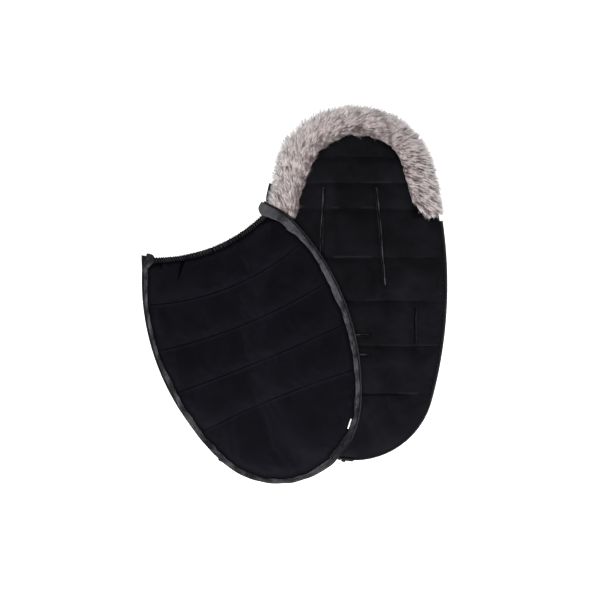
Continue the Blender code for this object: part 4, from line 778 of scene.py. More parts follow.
def back_shade(x, y):
    """Painted shade: dark lines in the seams, most in the lowest, a little just below each seam, and shade at
    the slots and by the fur; darker in the middle.
    """
    gap = back_seam(y)
    uneven = 0.55 + 0.9 * rough(x, y, 0.060, 51.0) + 0.25 * rough(x, y, 0.014, 52.0)
    seam = uneven * (0.4 if y > 0.19 else 0.7) * hump(gap, 0.0020)
    if abs(y - BACK_SEAMS[-1]) < 0.02 and x > -0.05:
        seam = max(seam, 0.95 * hump(gap, 0.0028) * smooth((0.18 - x) / 0.06))
    below = 0.18 * hump(gap + 0.008, 0.008) if gap < 0 else 0.0
    slot = 0.40 * hump(to_slot(x, y), 0.0075)
    fur = 0.6 * fade(max(BACK.inset(x, y) - 0.078, 0.0), 0.008) if y > 0.185 else 0.0
    middle = 0.24 * hump(x - 0.02, 0.11, 4) * smooth((y + 0.24) / 0.12)
    return max(seam, slot, fur) + below + middle


def back_lit(x, y):
    """Painted highlights on seam lips that catch the light, most of all the one between the shoulder slots,
    and painted light towards the foot.
    """
    chosen = max(0.4 * rough(x, y, 0.080, 53.0), 0.0)
    for seam, low, high, amount in LIT_SEAMS:
        if abs(y - seam) < 0.02:
            chosen = max(chosen, amount * smooth((x - low) / 0.008) * smooth((high - x) / 0.008))
    return chosen * hump(back_seam(y) - 0.0034, 0.0022) + 0.12 * smooth((-0.20 - y) / 0.24)


def build_back_lining():
    bm = cut_cloth(BACK, thread_rows(BACK_MARKS, BACK_FILLS, GRID), CLOTH_INSET)
    raise_cloth(bm, back_height)
    lining = as_piece("back_lining_cloth", bm, VELOUR)
    billow(lining, growth=0.020, cap=0.0045, also_held=lambda x, y: to_slot(x, y) < 0.009)
    points = points_of(lining.data)
    for number, (x, y, z) in enumerate(points):
        flat = to_cover(x, y)
        covered = COVER.inset(flat.x, flat.y) > -0.02 and flat.y < 0.02
        points[number, 2] = min(z, BACK_TOP - 0.0012 if covered else BACK_TOP + 0.0018)
    put_points(lining.data, points)
    finer(lining)
    crease_cloth(lining, back_shade, back_lit, least=lambda x, y: CLOTH_LEAST)
    open_slots(lining, SLOT_CUT, -CUT_SHORT)
    wall(lining, CLOTH)
    bend_with_hood(lining)
    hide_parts("back_lining", "hood_lining")


def build_back_shell():
    bm = cut_cloth(BACK, thread_rows(BACK_MARKS, BACK_FILLS, 2 * GRID), CLOTH_INSET)
    raise_cloth(bm, lambda x, y, t: 0.0022 + 0.0003 * rough(x, y, 0.05, 5.0) + 0.0004 * (1 - plump(t)))
    shell = as_piece("back_shell_cloth", bm, UNDERSIDE)
    finer(shell)
    # Painted shade in the underside's seams
    crease_cloth(shell, lambda x, y: 0.9 * hump(back_seam(y), 0.0022))
    open_slots(shell, SLOT_CUT, -CUT_SHORT)
    wall(shell, CLOTH)
    bend_with_hood(shell)
    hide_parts("back_shell", "hood_shell")


def build_back_filling():
    def low(x, y, t):
        return 0.0030

    def high(x, y, t):
        return max(back_height(x, y, channel_place(y)) - 0.0030, 0.0036)

    bm = cut_cloth(BACK, thread_rows(BACK_MARKS, BACK_FILLS, 2 * GRID), 0.016)
    filling = as_piece("back_filling", bm, WADDING)
    open_slots(filling, WELT + WADDING_ROOM, WADDING_ROOM)
    puff_up(filling, low, high)
    bend_with_hood(filling)
    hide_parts(*BACK_WADDING)


# Welts of the slots

def around_slot(slot):
    """Spots up one side of a slot's middle line and down the other; outward is away from the slot."""
    across, along = slot_axes(slot)
    straight = slot.half_length - WELT
    count = round(2 * straight / 0.004)
    half = [(mix(-straight, straight, n / count), 1.0, 0.0) for n in range(count)]
    half += [(straight, math.cos(math.pi * n / 8), math.sin(math.pi * n / 8)) for n in range(8)]
    ring = half + [(-v, -nu, -nv) for v, nu, nv in half] + half[:1]
    spots, run = [], 0.0
    for (before, _, _), (v, nu, nv) in zip(ring[:1] + ring, ring):
        run += abs(v - before)
        at, out = along * v, across * nu + along * nv
        spots.append(Spot(slot.x + at.x, slot.y + at.y, out.x, out.y, run))
    return spots


def build_welt(slot):
    """Satin lips round a slot. One overhangs a tongue on the other, so the slit is closed to light."""
    across, along = slot_axes(slot)
    over = -1.0 if slot.name == "shoulder_slot_left" else 1.0
    bends = SLOT_BENDS.get(slot.name, ((0.0, 0.0),))
    glow, lit_from = SLOT_HIGHLIGHT.get(slot.name, 0.05), SLOT_LIT_FROM.get(slot.name, -1.0)

    def bend(place):
        return float(np.interp(place, *zip(*bends)))

    def lips(spot):
        top = back_height(spot.x, spot.y, channel_place(spot.y)) + 0.0006 * rough(spot.x, spot.y, 0.02, 6.0)
        top = min(top, BACK_TOP - 0.0008)
        side = (spot.nx * across.x + spot.ny * across.y) * over
        overlap = (side + 1) / 2
        reach = 0.5 + 0.5 * rough(spot.s, slot.x, 0.05, 7.0)
        at_end = smooth(4.0 * (1.0 - abs(side)))
        place = (spot.x - slot.x) * along.x + (spot.y - slot.y) * along.y
        aside = bend(place) * side * over * (1 - at_end)
        upper = mix(mix(0.0016 + 0.0008 * reach, 0.0001, overlap), 0.00005, at_end) + aside
        lower = mix(mix(-0.0010, 0.0020, overlap), 0.00003, at_end) + aside
        high = top + mix(0.0002, 0.0016, overlap)
        upper_lip = [
            (-WELT, top - 0.0010), (-WELT + 0.0006, top + 0.0002), (-max(upper + 0.0014, 0.0036), high),
            (-upper - 0.0009, high), (-upper - 0.0003, high - 0.0006), (-upper, top - 0.0012)]
        tongue = [
            (-upper - 0.0002, top - 0.0030), (-lower, top - 0.0045), (-lower, 0.0040),
            (-lower - 0.0008, 0.0014)]
        under = [
            (-WELT, 0.0011), (-WELT, 0.0021), (-0.0034, 0.0030), (-0.0034, top - 0.0022),
            (-WELT + 0.0008, top - 0.0014)]
        return upper_lip + tongue + under

    bm = loft(around_slot(slot), lips, closed=True)
    # Painted shade in the slit's gap, and a painted highlight along the rolled lip, brighter near the right
    # shoulder slot's lower end
    shade, lit = light_marks(bm)
    for vert in bm.verts:
        off = Vector((vert.co.x - slot.x, vert.co.y - slot.y))
        place = off @ along
        aside = (off @ across - bend(place)) * over
        painted_highlight = glow + 0.6 * rough(place, slot.x, 0.030, 9.0)
        if slot.name == "shoulder_slot_right" and place < -0.115:
            painted_highlight += 0.6
        run_out = smooth((slot.half_length - abs(place)) / 0.008) * smooth((place - lit_from) / 0.006)
        vert[shade] = 0.95 if -0.0022 < aside < 0.0001 and run_out > 0.1 else 0.2
        vert[lit] = clamp(painted_highlight) * run_out if 0.0 < aside < 0.0021 else 0.0
    as_piece(slot.name + "_welt", bm, PIPING, "back", [slot.name + "_binding"])


# Zips

# What each owner's zips lie on: level of its tapes, height of what is below them, and where it lies
ZIP_SEATS = {
    "back": (BACK_TAPE_LOW, none, Matrix.Identity(4)),
    "cover": (COVER_TAPE_LOW, drape, COVER_FRAME),
}
ZIP_TOP = 0.1824  # height where the back's zips begin, beside the fur's ends
ZIP_TAIL = 0.100  # the left tape runs on up beside the fur
TAPE_STEP = 0.005
LOOP_PITCH, LOOP_INSET = 0.0021, 0.0021
LOOP_SIZE = (0.0042, 0.0012, 0.0019)
# Where the halves end at the foot, clear of their boxes and pins: on the back how far before the lowest
# point, on the cover how far along the rim, left and right
BACK_TAPE_ENDS, BACK_COIL_ENDS = (0.0521, 0.0461), (0.0617, 0.0365)
COVER_TAPE_ENDS, COVER_COIL_ENDS = (0.7035, 1.0275), (0.6630, 1.0680)


def tape_wave(s):
    """How far a tape's outer edge, and the coil on it, is lifted off its seat."""
    return 0.0003 + 0.0003 * rough(s, 0.0, 0.035, 8.0)


def tape(owner, side, spots, wider=none):
    """Woven tape, edge outwards, with a slight wave."""
    low, lie, seat = ZIP_SEATS[owner]

    def across(spot):
        def at(inset, z):
            return inset, z + lie(spot.x - spot.nx * inset, spot.y - spot.ny * inset)

        wave, high, width = tape_wave(spot.s), low + TAPE_THICKNESS, TAPE_WIDTH + wider(spot.s)
        return [at(0.0, low + wave), at(width, low), at(width, high), at(0.006, high), at(0.0, high + wave)]

    bm = loft(spots, across)
    bmesh.ops.transform(bm, matrix=seat, verts=bm.verts[:])
    as_piece(f"{owner}_tape_{side}", bm, ZIP_TAPE, owner, [f"{owner}_zip_tape_{side}"])


def coil_loop():
    """One loop of a nylon coil, as a bar with its edges taken off."""
    bm = bmesh.new()
    bmesh.ops.create_cube(bm, size=1.0)
    bmesh.ops.scale(bm, verts=bm.verts[:], vec=LOOP_SIZE)
    bmesh.ops.bevel(bm, geom=bm.edges[:], offset=0.00045, offset_type="OFFSET", affect="EDGES", segments=1,
                    profile=0.5, material=-1)
    return put_back(bm, bpy.data.meshes.new("coil_loop"))


def coil(owner, side, spots):
    """The loops of a nylon coil, sewn along the tape's outer edge."""
    low, lie, seat = ZIP_SEATS[owner]
    turn, up = seat.to_3x3(), (0.0, 0.0, 1.0)
    frames, run = [], 0.0
    for before, after in zip(spots, spots[1:]):
        while run <= after.s:
            share = (run - before.s) / (after.s - before.s)
            out = Vector((mix(before.nx, after.nx, share), mix(before.ny, after.ny, share), 0.0)).normalized()
            x = mix(before.x, after.x, share) - out.x * LOOP_INSET
            y = mix(before.y, after.y, share) - out.y * LOOP_INSET
            at = seat @ Vector((x, y, low + TAPE_THICKNESS + 0.0010 + tape_wave(run) + lie(x, y)))
            leaning = Matrix.Rotation(0.16, 3, "Z") @ out
            beside = Vector((-leaning.y, leaning.x, 0.0))
            frames.append((tuple(at), [tuple(turn @ leaning), tuple(turn @ beside), up]))
            run += LOOP_PITCH
    template = coil_loop()
    loops = repeated(f"{owner}_coil_{side}", template, placed(template, frames))
    dress(loops, NYLON, owner, [f"{owner}_zip_chain_{side}"])


def stretch(rim, start, end):
    """The part of a rim between two places along it, measured from its own first spot."""
    spots = [p for p in rim if start <= p.s <= end]
    return [p._replace(s=p.s - spots[0].s) for p in spots]


def splay(s):
    """How far the tail of the back's left tape stands out from the edge."""
    return 0.0085 * smooth((0.080 - s) / 0.045)


def build_zips():
    rim = BACK.rim(ZIP_TOP + ZIP_TAIL, TAPE_STEP)
    foot = rim[-1].s / 2
    rim = [p._replace(x=p.x + p.nx * splay(p.s), y=p.y + p.ny * splay(p.s)) for p in rim]
    left_top = foot - BACK.rim(ZIP_TOP, TAPE_STEP)[-1].s / 2
    right_top = 2 * foot - left_top
    tape("back", "left", stretch(rim, 0.0, foot - BACK_TAPE_ENDS[0]), splay)
    coil("back", "left", stretch(rim, left_top, foot - BACK_COIL_ENDS[0]))
    tape("back", "right", stretch(rim, foot - BACK_TAPE_ENDS[1], right_top))
    coil("back", "right", stretch(rim, foot - BACK_COIL_ENDS[1], right_top))

    rim = []
    for p in COVER.rim(0.0, TAPE_STEP):
        out, folded = 0.0045 * max(1 - p.s / 0.040, 0.0), folded_over(p.s)
        rim.append(p._replace(x=p.x + p.nx * out - 0.020 * folded, y=p.y + p.ny * out + 0.010 * folded))
    tape("cover", "left", stretch(rim, 0.0, COVER_TAPE_ENDS[0]))
    coil("cover", "left", stretch(rim, 0.0, COVER_COIL_ENDS[0]))
    tape("cover", "right", stretch(rim, COVER_TAPE_ENDS[1], rim[-1].s))
    coil("cover", "right", stretch(rim, COVER_COIL_ENDS[1], rim[-1].s))


# Front cover

COLLAR_DROP = 0.4734  # share of the collar by which its inner edge starts lower than the cover's corners
HEM_RAISED = 0.0058  # how much higher the hem's middle is in the photograph than in the solids
HEM_TOP = -COLLAR_DROP * COLLAR - HEM_DROP
HEM_BOW = HEM_TOP + COVER_DIP + HEM_DROP - HEM_RAISED
COVER_MARKS = [(HEM_TOP, HEM_BOW), *COVER_SEAMS, (-0.753, 0.0)]
COVER_FILLS = [(0.0, 1.0)] * 4 + [(0.0, 0.5)]
# Straight creases, from where to where: the deep pleat under the hem, and those drawn in beside the label
PLEAT = ((-0.0940, -0.0508), (-0.1312, -0.1030))
DRAWN = (
    ((0.1667, -0.5960), (0.1764, -0.6356)), ((0.1350, -0.6087), (0.1400, -0.6390)),
    ((0.1930, -0.5453), (0.2030, -0.5820)), ((0.1810, -0.5600), (0.1960, -0.6010)),
)

# The grey band round the rim: how wide it shows and the inset of its outer edge, at places along the rim,
# measured on the photograph
BAND_RIM = 1.8121
BAND_WIDTHS = (
    (0.0, 0.034), (0.022, 0.030), (0.040, 0.013), (0.12, 0.009), (0.30, 0.010), (0.36, 0.014), (0.45, 0.014),
    (0.52, 0.017), (0.60, 0.017), (0.68, 0.016), (0.80, 0.013), (0.90, 0.015), (0.97, 0.021), (1.04, 0.023),
    (1.09, 0.013), (1.20, 0.012), (1.30, 0.013), (1.42, 0.014), (1.50, 0.018), (1.57, 0.015), (1.61, 0.012),
    (1.66, 0.014), (1.72, 0.022), (1.775, 0.030), (1.80, 0.038), (1.83, 0.040),
)
BAND_OUTER = (
    (0.0, 0.0010), (0.03, 0.0035), (0.06, 0.0066), (0.42, 0.0060), (0.50, 0.0004), (0.60, -0.0028),
    (0.72, -0.0030), (0.98, -0.0022), (1.04, 0.0040), (1.10, 0.0066), (1.83, 0.0066),
)


def hem_y(x):
    """The seam that the hem is sewn to, across the cover's top edge."""
    return COVER.bowed(x, HEM_TOP, HEM_BOW)


def cover_rise(inset):
    """How far the cover has filled out at an inset, from 0 at its edge to 1."""
    return 1.0 - hump(max(inset - CLOTH_INSET, 0.0), 0.030, 1.2)


def cover_level(x, y, inset, share=1.0):
    """Height of the cover's full top at a place, or of a share of it, without seams and creases."""
    return drape(x, y) + COVER_EDGE_TOP + (COVER_CROWN - COVER_EDGE_TOP) * cover_rise(inset) * share


def folded_over(s):
    """Share of the turn in the band's upper right end, which is folded over the hem."""
    return smooth((s - 1.760) / 0.050)


def band_edges(s):
    """Insets of the band's two edges at a place along the rim."""
    width = float(np.interp(s, *zip(*BAND_WIDTHS)))
    width *= 1 + 0.28 * rough(s, 0.0, 0.034, 21.0) + 0.12 * rough(s, 0.0, 0.012, 24.0)
    outer = float(np.interp(s, *zip(*BAND_OUTER))) + 0.0014 * rough(s, 3.0, 0.030, 22.0)
    return outer, outer + width


def beside_band(x, y):
    """How far a point of the cover lies inside the band's inner edge."""
    return COVER.inset(x, y) - band_edges(COVER.along(x, y))[1]


def beside_crease(x, y, crease):
    """Distance to a straight crease, the side it is on, and how far down the crease it is."""
    start, end = Vector(crease[0]), Vector(crease[1])
    run, off = end - start, Vector((x, y)) - start
    share = clamp(off.dot(run) / run.length_squared)
    return (off - run * share).length, math.copysign(1.0, off.x * run.y - off.y * run.x), share


def tucked_in(x, y):
    """Distance from where the cover's cloth dives under the band and the hem, rounded at the corners."""
    side, hem, corner = beside_band(x, y), hem_y(x) - y, 0.030
    if side > corner:
        return min(side, hem + 0.001)
    return corner - math.hypot(corner - side, max(corner - hem - 0.001, 0.0))


def cover_seam(x, y):
    """Height over the nearest seam of the cover, negative below it."""
    return min((y - COVER.bowed(x, seam, bow) for seam, bow in COVER_SEAMS), key=abs)


def cover_shade(x, y):
    """Painted shade: dark lines in the seams and the pleat, and soft shade where the cloth is tucked in and
    puckered.
    """
    inner = max(tucked_in(x, y) - 0.0005, 0.0)
    # Painted shade where the cloth dives under the band and the hem
    tucked = max(0.95 * hump(inner, 0.0042), 0.65 * hump(inner, 0.0130))
    gap, _, share = beside_crease(x, y, PLEAT)
    pleat_shade = 2.0 * (1 - share) ** 0.3 * hump(gap, 0.0030 + 0.0028 * (1 - share))
    below = max(hem_y(x) - y, 0.0)
    corner = fade(max(x + 0.17, 0.0), 0.08)
    folds = max(3.0 * rough(x, 0.3 * y, 0.0095, 57.0), 0.0)
    pucker_shade = (0.5 + 0.6 * corner) * fade(below, 0.008 + 0.012 * corner) * folds
    for crease in DRAWN:
        gap, _, share = beside_crease(x, y, crease)
        pucker_shade = max(pucker_shade, 0.85 * share ** 0.5 * hump(gap, 0.0024))
    uneven = 0.85 + 0.45 * rough(x, y, 0.060, 54.0) + 0.2 * rough(x, y, 0.014, 55.0)
    return min(max(tucked, pleat_shade, uneven * hump(cover_seam(x, y), 0.0020), pucker_shade), 1.0)


def cover_lit(x, y):
    """Painted light below the seams, on the gathers under the hem, and towards the foot."""
    below = max(hem_y(x) - y, 0.0)
    at_seam = max(0.45 + 0.5 * rough(x, y, 0.070, 56.0), 0.0) * hump(cover_seam(x, y) + 0.0045, 0.0030)
    at_hem = 0.8 * hump(below - 0.007, 0.004) * max(2.0 * rough(x, 0.3 * y, 0.012, 58.0), 0.0)
    return at_seam + at_hem + 0.12 * smooth((-0.30 - y) / 0.30)


def cover_creases(x, y):
    """How far the cloth is drawn down: a valley beside the band, and the deep pleat."""
    rise = cover_rise(COVER.inset(x, y))
    depth = 0.0048 * rise * hump(tucked_in(x, y) - 0.001, 0.0046)
    gap, side, share = beside_crease(x, y, PLEAT)
    valley, ridge = 0.0075 * hump(gap, 0.0034), 0.0026 * hump(gap - 0.009 * side, 0.006)
    return depth + (1 - share) ** 0.5 * (valley - ridge)


def cover_height(x, y, t):
    """Top of the quilted cover over what it lies on."""
    inset = COVER.inset(x, y)
    rise = cover_rise(inset)
    below = max(hem_y(x) - y, 0.0)
    at_hem = 1.0 - 0.55 * fade(below, 0.007)
    fullness = rise * (1.0 - 0.42 * (1.0 - plump(t))) * at_hem
    z = COVER_EDGE_TOP + (COVER_CROWN - COVER_EDGE_TOP) * fullness
    z += rise * (0.0018 * rough(x, y, 0.13, 11.0) + 0.0008 * rough(x, y, 0.05, 12.0))
    near_seam = math.exp(-min(t, 1 - t) * 16.0)
    z += 0.0011 * near_seam * rise * rough(x, 0.4 * y, 0.012, 13.0)
    z += at_hem * 0.0028 * fade(below, 0.024) * rough(x, 0.25 * y, 0.0105, 14.0)
    s = COVER.along(x, y)
    near_label = hump(s - 1.17, 0.11)
    reach = 0.014 + 0.014 * near_label
    drawn = fade(max(beside_band(x, y), 0.0), reach) * rough(s, 0.25 * inset, 0.0135, 15.0)
    z += (0.0012 + 0.0024 * near_label) * drawn * min(rise * 3, 1.0)
    return drape(x, y) + max(z, CLOTH_LEAST)


def build_cover_face():
    bm = cut_cloth(COVER, thread_rows(COVER_MARKS, COVER_FILLS, GRID), CLOTH_INSET)
    raise_cloth(bm, cover_height)
    face = as_piece("cover_face", bm, MICROFIBRE)
    billow(face, growth=0.009, cap=0.0050)
    finer(face)
    crease_cloth(face, cover_shade, cover_lit, cover_creases, lambda x, y: drape(x, y) + CLOTH_LEAST)
    face.data.transform(COVER_FRAME)
    wall(face, CLOTH)
    ride_cover(face, "cover_shell")


def build_cover_lining():
    bm = cut_cloth(COVER, thread_rows(COVER_MARKS, COVER_FILLS, 1.3 * GRID), CLOTH_INSET)
    raise_cloth(bm, lambda x, y, t: drape(x, y) + CLOTH + 0.0004 * (1 - plump(t)))
    lining = as_piece("cover_lining_cloth", bm, VELOUR)
    lining.data.transform(COVER_FRAME)
    wall(lining, CLOTH)
    ride_cover(lining, "cover_lining")


def build_cover_filling():
    def low(x, y, t):
        return drape(x, y) + 0.0020

    def high(x, y, t):
        return max(cover_height(x, y, t) - FILLING_DROP - cover_creases(x, y), drape(x, y) + 0.0024)

    shorter = [(HEM_TOP - 0.007, HEM_BOW)] + COVER_MARKS[1:]
    bm = cut_cloth(COVER, thread_rows(shorter, COVER_FILLS, 2 * GRID), 0.022)
    filling = as_piece("cover_filling", bm, WADDING)
    puff_up(filling, low, high)
    filling.data.transform(COVER_FRAME)
    ride_cover(filling, "cover_wadding")


# Band, hem and label of the cover

def band_light(s, share):
    """How far the band is out of the light and in it, as painted shade and painted highlights where it rolls
    and at its outer edge, at a place along it and across it; darker on the left and round the foot.
    """
    front = smooth((1.30 - s) / 0.25) * (0.55 + 0.45 * smooth((s - 0.35) / 0.20))
    roll_light_and_shade = rough(s + 0.012 * share, 4.0, 0.038, 61.0) + 0.6 * rough(s - 0.010 * share, share, 0.014, 62.0)
    shade = max(clamp(-1.1 * roll_light_and_shade, 0.0, 0.45) + 0.42 * front, 0.5 * (1 - smooth(share / 0.16)))
    return shade, clamp(0.22 - 0.20 * front + 0.50 * roll_light_and_shade, 0.0, 0.36)


def build_band():
    """The band: folded twill, sewn over the edge and rolling to and fro along it."""
    rim = COVER.rim(0.003, 0.004)
    end = rim[-1].s

    def across(spot):
        s = spot.s * BAND_RIM / end
        outer, inner = band_edges(s)
        to_end = min(s, BAND_RIM - s)
        inner = mix(inner, outer + 0.004, 0.45 * max(1 - to_end / 0.008, 0.0) ** 2)
        crest = 0.5 + 0.32 * rough(s, 5.0, 0.050, 23.0)
        roll = 0.0026 + 0.0018 * rough(s, 7.0, 0.060, 25.0)

        def base(share):
            inset = mix(outer, inner, share)
            wave = 0.0009 * rough(s + 0.010 * share, 9.0 * share, 0.0085, 26.0)
            x, y = spot.x - spot.nx * inset, spot.y - spot.ny * inset
            return cover_level(x, y, inset, 0.80) + 0.0012 + wave

        under = drape(spot.x - spot.nx * outer, spot.y - spot.ny * outer)
        foot = under + COVER_TAPE_LOW + TAPE_THICKNESS + 0.0004
        upper = []
        for share in (0.0, 0.12, 0.28, 0.44, 0.60, 0.76, 0.90, 1.0):
            lift = hump(share - crest, 0.36) * min(share * 6 + 0.2, 1.0)
            upper.append((mix(outer, inner, share), base(share) + 0.0008 + roll * lift))
        lower = [(mix(outer, inner, share), base(share) - 0.0010) for share in (0.97, 0.6, 0.25)]
        # Its lower edge reaches back over the zip tape, so that no floor shows between them
        seat = [
            (max(outer, 0.0) + 0.0012, foot), (outer - 0.0002, foot),
            (outer - 0.0005, (foot + upper[0][1]) / 2)]
        return seat + upper + lower

    bm = loft(rim, across)
    # Painted shade and painted highlights on the band, from band_light
    shade, lit = light_marks(bm)
    for vert in bm.verts:
        s = COVER.along(vert.co.x, vert.co.y)
        outer, inner = band_edges(s)
        share = clamp((COVER.inset(vert.co.x, vert.co.y) - outer) / (inner - outer))
        vert[shade], vert[lit] = band_light(s, share)
        folded = folded_over(s)
        tucked = 0.010 * smooth((0.030 - s) / 0.030) * (1 - 0.7 * share)
        vert.co.x += tucked - mix(0.0215, 0.0115, share) * folded
        vert.co.y += 0.0125 * folded
    bmesh.ops.transform(bm, matrix=COVER_FRAME, verts=bm.verts[:])
    band = as_piece("cover_band_twill", bm, TWILL)
    finer(band)
    ride_cover(band, "cover_band")


HEM_REACH = 0.184  # from the middle to each end of the gathered hem
GATHER_PITCH = 0.0066
HEM_CENTRE = 1.25 * HEM_RADIUS  # over what the cover lies on
ELASTIC_HALF_WIDTH, ELASTIC_HALF_THICKNESS = 0.0028, 0.0008


def gather(s):
    """From 0 in the valley between two gathers to 1 on top of one."""
    phase = s / GATHER_PITCH + 0.9 * rough(s, 0.0, 0.020, 31.0)
    return 0.5 - 0.5 * math.cos(2 * math.pi * phase)


def build_hem():
    """Casing gathered on its elastic: close, uneven folds all the way along."""
    spots, run, x = [], 0.0, -HEM_REACH
    half = COVER.half_width(HEM_TOP, COLLAR)
    while x <= HEM_REACH:
        slope = Vector((-2 * HEM_BOW * x / half ** 2, 1.0)).normalized()
        centre = Vector((x, hem_y(x))) + slope * (HEM_RADIUS + 0.0008)
        if spots:
            run += math.hypot(centre.x - spots[-1].x, centre.y - spots[-1].y)
        spots.append(Spot(centre.x, centre.y, slope.x, slope.y, run))
        x += 0.0012

    def gathered(spot):
        radius = HEM_RADIUS * (0.76 + 0.36 * gather(spot.s) + 0.12 * rough(spot.s, 2.0, 0.012, 32.0))
        centre = drape(spot.x, spot.y) + HEM_CENTRE
        ring = []
        for corner in range(12):
            angle = 2 * math.pi * corner / 12
            wrinkle = 1 + 0.06 * rough(spot.s * 3, angle, 0.012, 33.0)
            flat = 1.16 if math.cos(angle) < 0 else 1.80
            inset = radius * flat * wrinkle * math.cos(angle)
            ring.append((inset, centre + radius * wrinkle * math.sin(angle)))
        return ring

    bm = loft(spots, gathered)
    # Painted shade in the gathers' valleys and on the side against the cloth, and painted highlights on their
    # tops
    shade, lit = light_marks(bm)
    places, runs = [p.x for p in spots], [p.s for p in spots]
    for vert in bm.verts:
        s = float(np.interp(vert.co.x, places, runs))
        fold = gather(s)
        cloth_side_shade = smooth(0.5 + (hem_y(vert.co.x) + 0.002 - vert.co.y) / 0.004)
        vert[shade] = max(1.1 * (1 - fold), 0.9 * cloth_side_shade)
        vert[lit] = 1.3 * fold * fold * (0.7 + 0.8 * rough(s, 1.0, 0.018, 34.0))
    bmesh.ops.transform(bm, matrix=COVER_FRAME, verts=bm.verts[:])
    as_piece("hem_gathered", bm, GATHERED_LIT, "cover", ["hem_casing"])

    def strip(spot):
        centre, half = drape(spot.x, spot.y) + HEM_CENTRE, ELASTIC_HALF_THICKNESS
        wide = ELASTIC_HALF_WIDTH
        return [(-wide, centre - half), (wide, centre - half), (wide, centre + half), (-wide, centre + half)]

    bm = loft(spots[3:-3], strip)
    bmesh.ops.transform(bm, matrix=COVER_FRAME, verts=bm.verts[:])
    as_piece("hem_elastic_strip", bm, ELASTIC, "cover", ["hem_elastic"])


LABEL_WIDTH, LABEL_LENGTH = 0.0036, 0.029
LABEL_INSET = 0.0240
LABEL_RUN = 0.202  # along the rim from the foot's lowest point


def build_label():
    """The small white ribbon label, sewn flat beside the band and left blank."""
    foot_y, foot_radius = COVER.foot
    angle = LABEL_RUN / foot_radius
    out = Vector((math.sin(angle), -math.cos(angle), 0.0))
    middle = Vector((0.0, foot_y, 0.0)) + out * (foot_radius - LABEL_INSET)
    along = Vector((-out.y, out.x, 0.0))
    bm = bmesh.new()
    bmesh.ops.create_grid(bm, x_segments=6, y_segments=16, size=0.5)
    for vert in bm.verts:
        u, v = vert.co.x, vert.co.y
        spot = middle + out * (u * LABEL_WIDTH) + along * (v * LABEL_LENGTH)
        lift = cover_level(spot.x, spot.y, LABEL_INSET) + 0.0030
        vert.co = (spot.x, spot.y, lift + 0.0008 * math.cos(v * 5.0) + 0.0006 * u)
    bmesh.ops.transform(bm, matrix=COVER_FRAME, verts=bm.verts[:])
    bmesh.ops.recalc_face_normals(bm, faces=bm.faces[:])
    label = as_piece("side_label", bm, LABEL)
    wall(label, 0.0006, 0.0)
    ride_cover(label, "side_tag")


# Fur trim

FUR_LOW = 0.1834  # height of its ends
FUR_LENGTH = 0.8865
FUR_TOP = 0.0470
# Its width at places along it, from the left end
FUR_EDGE = (
    (0.000, 0.0890), (0.109, 0.0898), (0.154, 0.0974), (0.238, 0.0892), (0.299, 0.0886), (0.399, 0.0798),
    (0.467, 0.0762), (0.516, 0.0781), (0.580, 0.0779), (0.624, 0.0771), (0.680, 0.0810), (0.729, 0.0866),
    (0.773, 0.0853), (0.814, 0.0828), (0.850, 0.0665), (0.882, 0.0450), (0.887, 0.0400),
)
PARTING = 0.544  # where along it the hair parts, and leans the other way beyond
WHORL = (-0.204, 0.222)  # a brown spot in it
STRANDS, TUFTS = 99000, 7000
FUR_PIECES = 5
TUFT_LENGTHS = (0.018, 0.032)
LOCK_WIDTHS = (0.00028, 0.00046)

# Locks of hair, or tufts of them: how far along the trim and across it, its width there, and their roots
Hairs = namedtuple("Hairs", "s share edge tangent outward root")


def fur_edge(s):
    return np.interp(s, *zip(*FUR_EDGE))


def beyond_parting(s, width):
    """0 before the parting and 1 beyond it, changing over about four widths."""
    return 1.0 / (1.0 + np.exp(-(s - PARTING) / width))


def back_top(inset):
    """The back's top near its edge, without its seams."""
    rise = 1.0 - np.exp(-np.maximum(inset - CLOTH_INSET, 0.0) / BACK_ROUNDING)
    return BACK_EDGE_TOP + (BACK_TOP - BACK_EDGE_TOP) * rise


def pelt_top(inset, edge):
    """Height of the pelt that the hairs stand on, from the outer edge to the inner one."""
    share = np.clip((inset - 0.001) / (edge - 0.006), 0.0, 1.0)
    return back_top(inset) + 0.0010 + 0.0085 * np.sqrt(np.clip(np.sin(np.pi * share), 0.0, 1.0))


def under_cover(x, y):
    """Upper limit for anything that the cover lies on, or None."""
    flat = to_cover(x, y)
    if COVER.inset(flat.x, flat.y) > -0.004 and flat.y < 0.004:
        return drape(flat.x, flat.y) - 0.0012
    return None


def build_pelt():
    rim = [p for p in BACK.rim(FUR_LOW, 0.006, BACK.head) if 0.010 < p.s < FUR_LENGTH - 0.018]

    def across(spot):
        edge = float(fur_edge(spot.s)) - 0.007
        upper, lower = [], []
        for corner in range(13):
            inset = mix(0.002 + 0.006 * max(1.0 - spot.s / 0.09, 0.0), edge, corner / 12)
            top = float(pelt_top(np.float64(inset), edge + 0.007))
            limit = under_cover(spot.x - spot.nx * inset, spot.y - spot.ny * inset)
            if limit is not None:
                top = min(top, limit - 0.004)
            upper.append((inset, max(top, 0.0060)))
            lower.append((inset, min(float(back_top(np.float64(inset))) + 0.0022, upper[-1][1] - 0.0006)))
        return upper + lower[::-1]

    pelt = as_piece("fur_pelt", loft(rim, across), PELT)
    bend_with_hood(pelt)
    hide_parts("fur_left", "fur_hood", "fur_right")


def lock_shape():
    """One lock of hairs: a thin three-sided spike, cut once across so that it can bend."""
    bm = bmesh.new()
    bmesh.ops.create_cone(bm, cap_ends=True, segments=3, radius1=1.0, radius2=0.0, depth=1.0)
    everything = bm.verts[:] + bm.edges[:] + bm.faces[:]
    bmesh.ops.bisect_plane(bm, geom=everything, plane_co=(0, 0, 0), plane_no=(0, 0, 1))
    bmesh.ops.remove_doubles(bm, verts=bm.verts[:], dist=0.00001)
    return put_back(bm, bpy.data.meshes.new("lock_of_hair"))


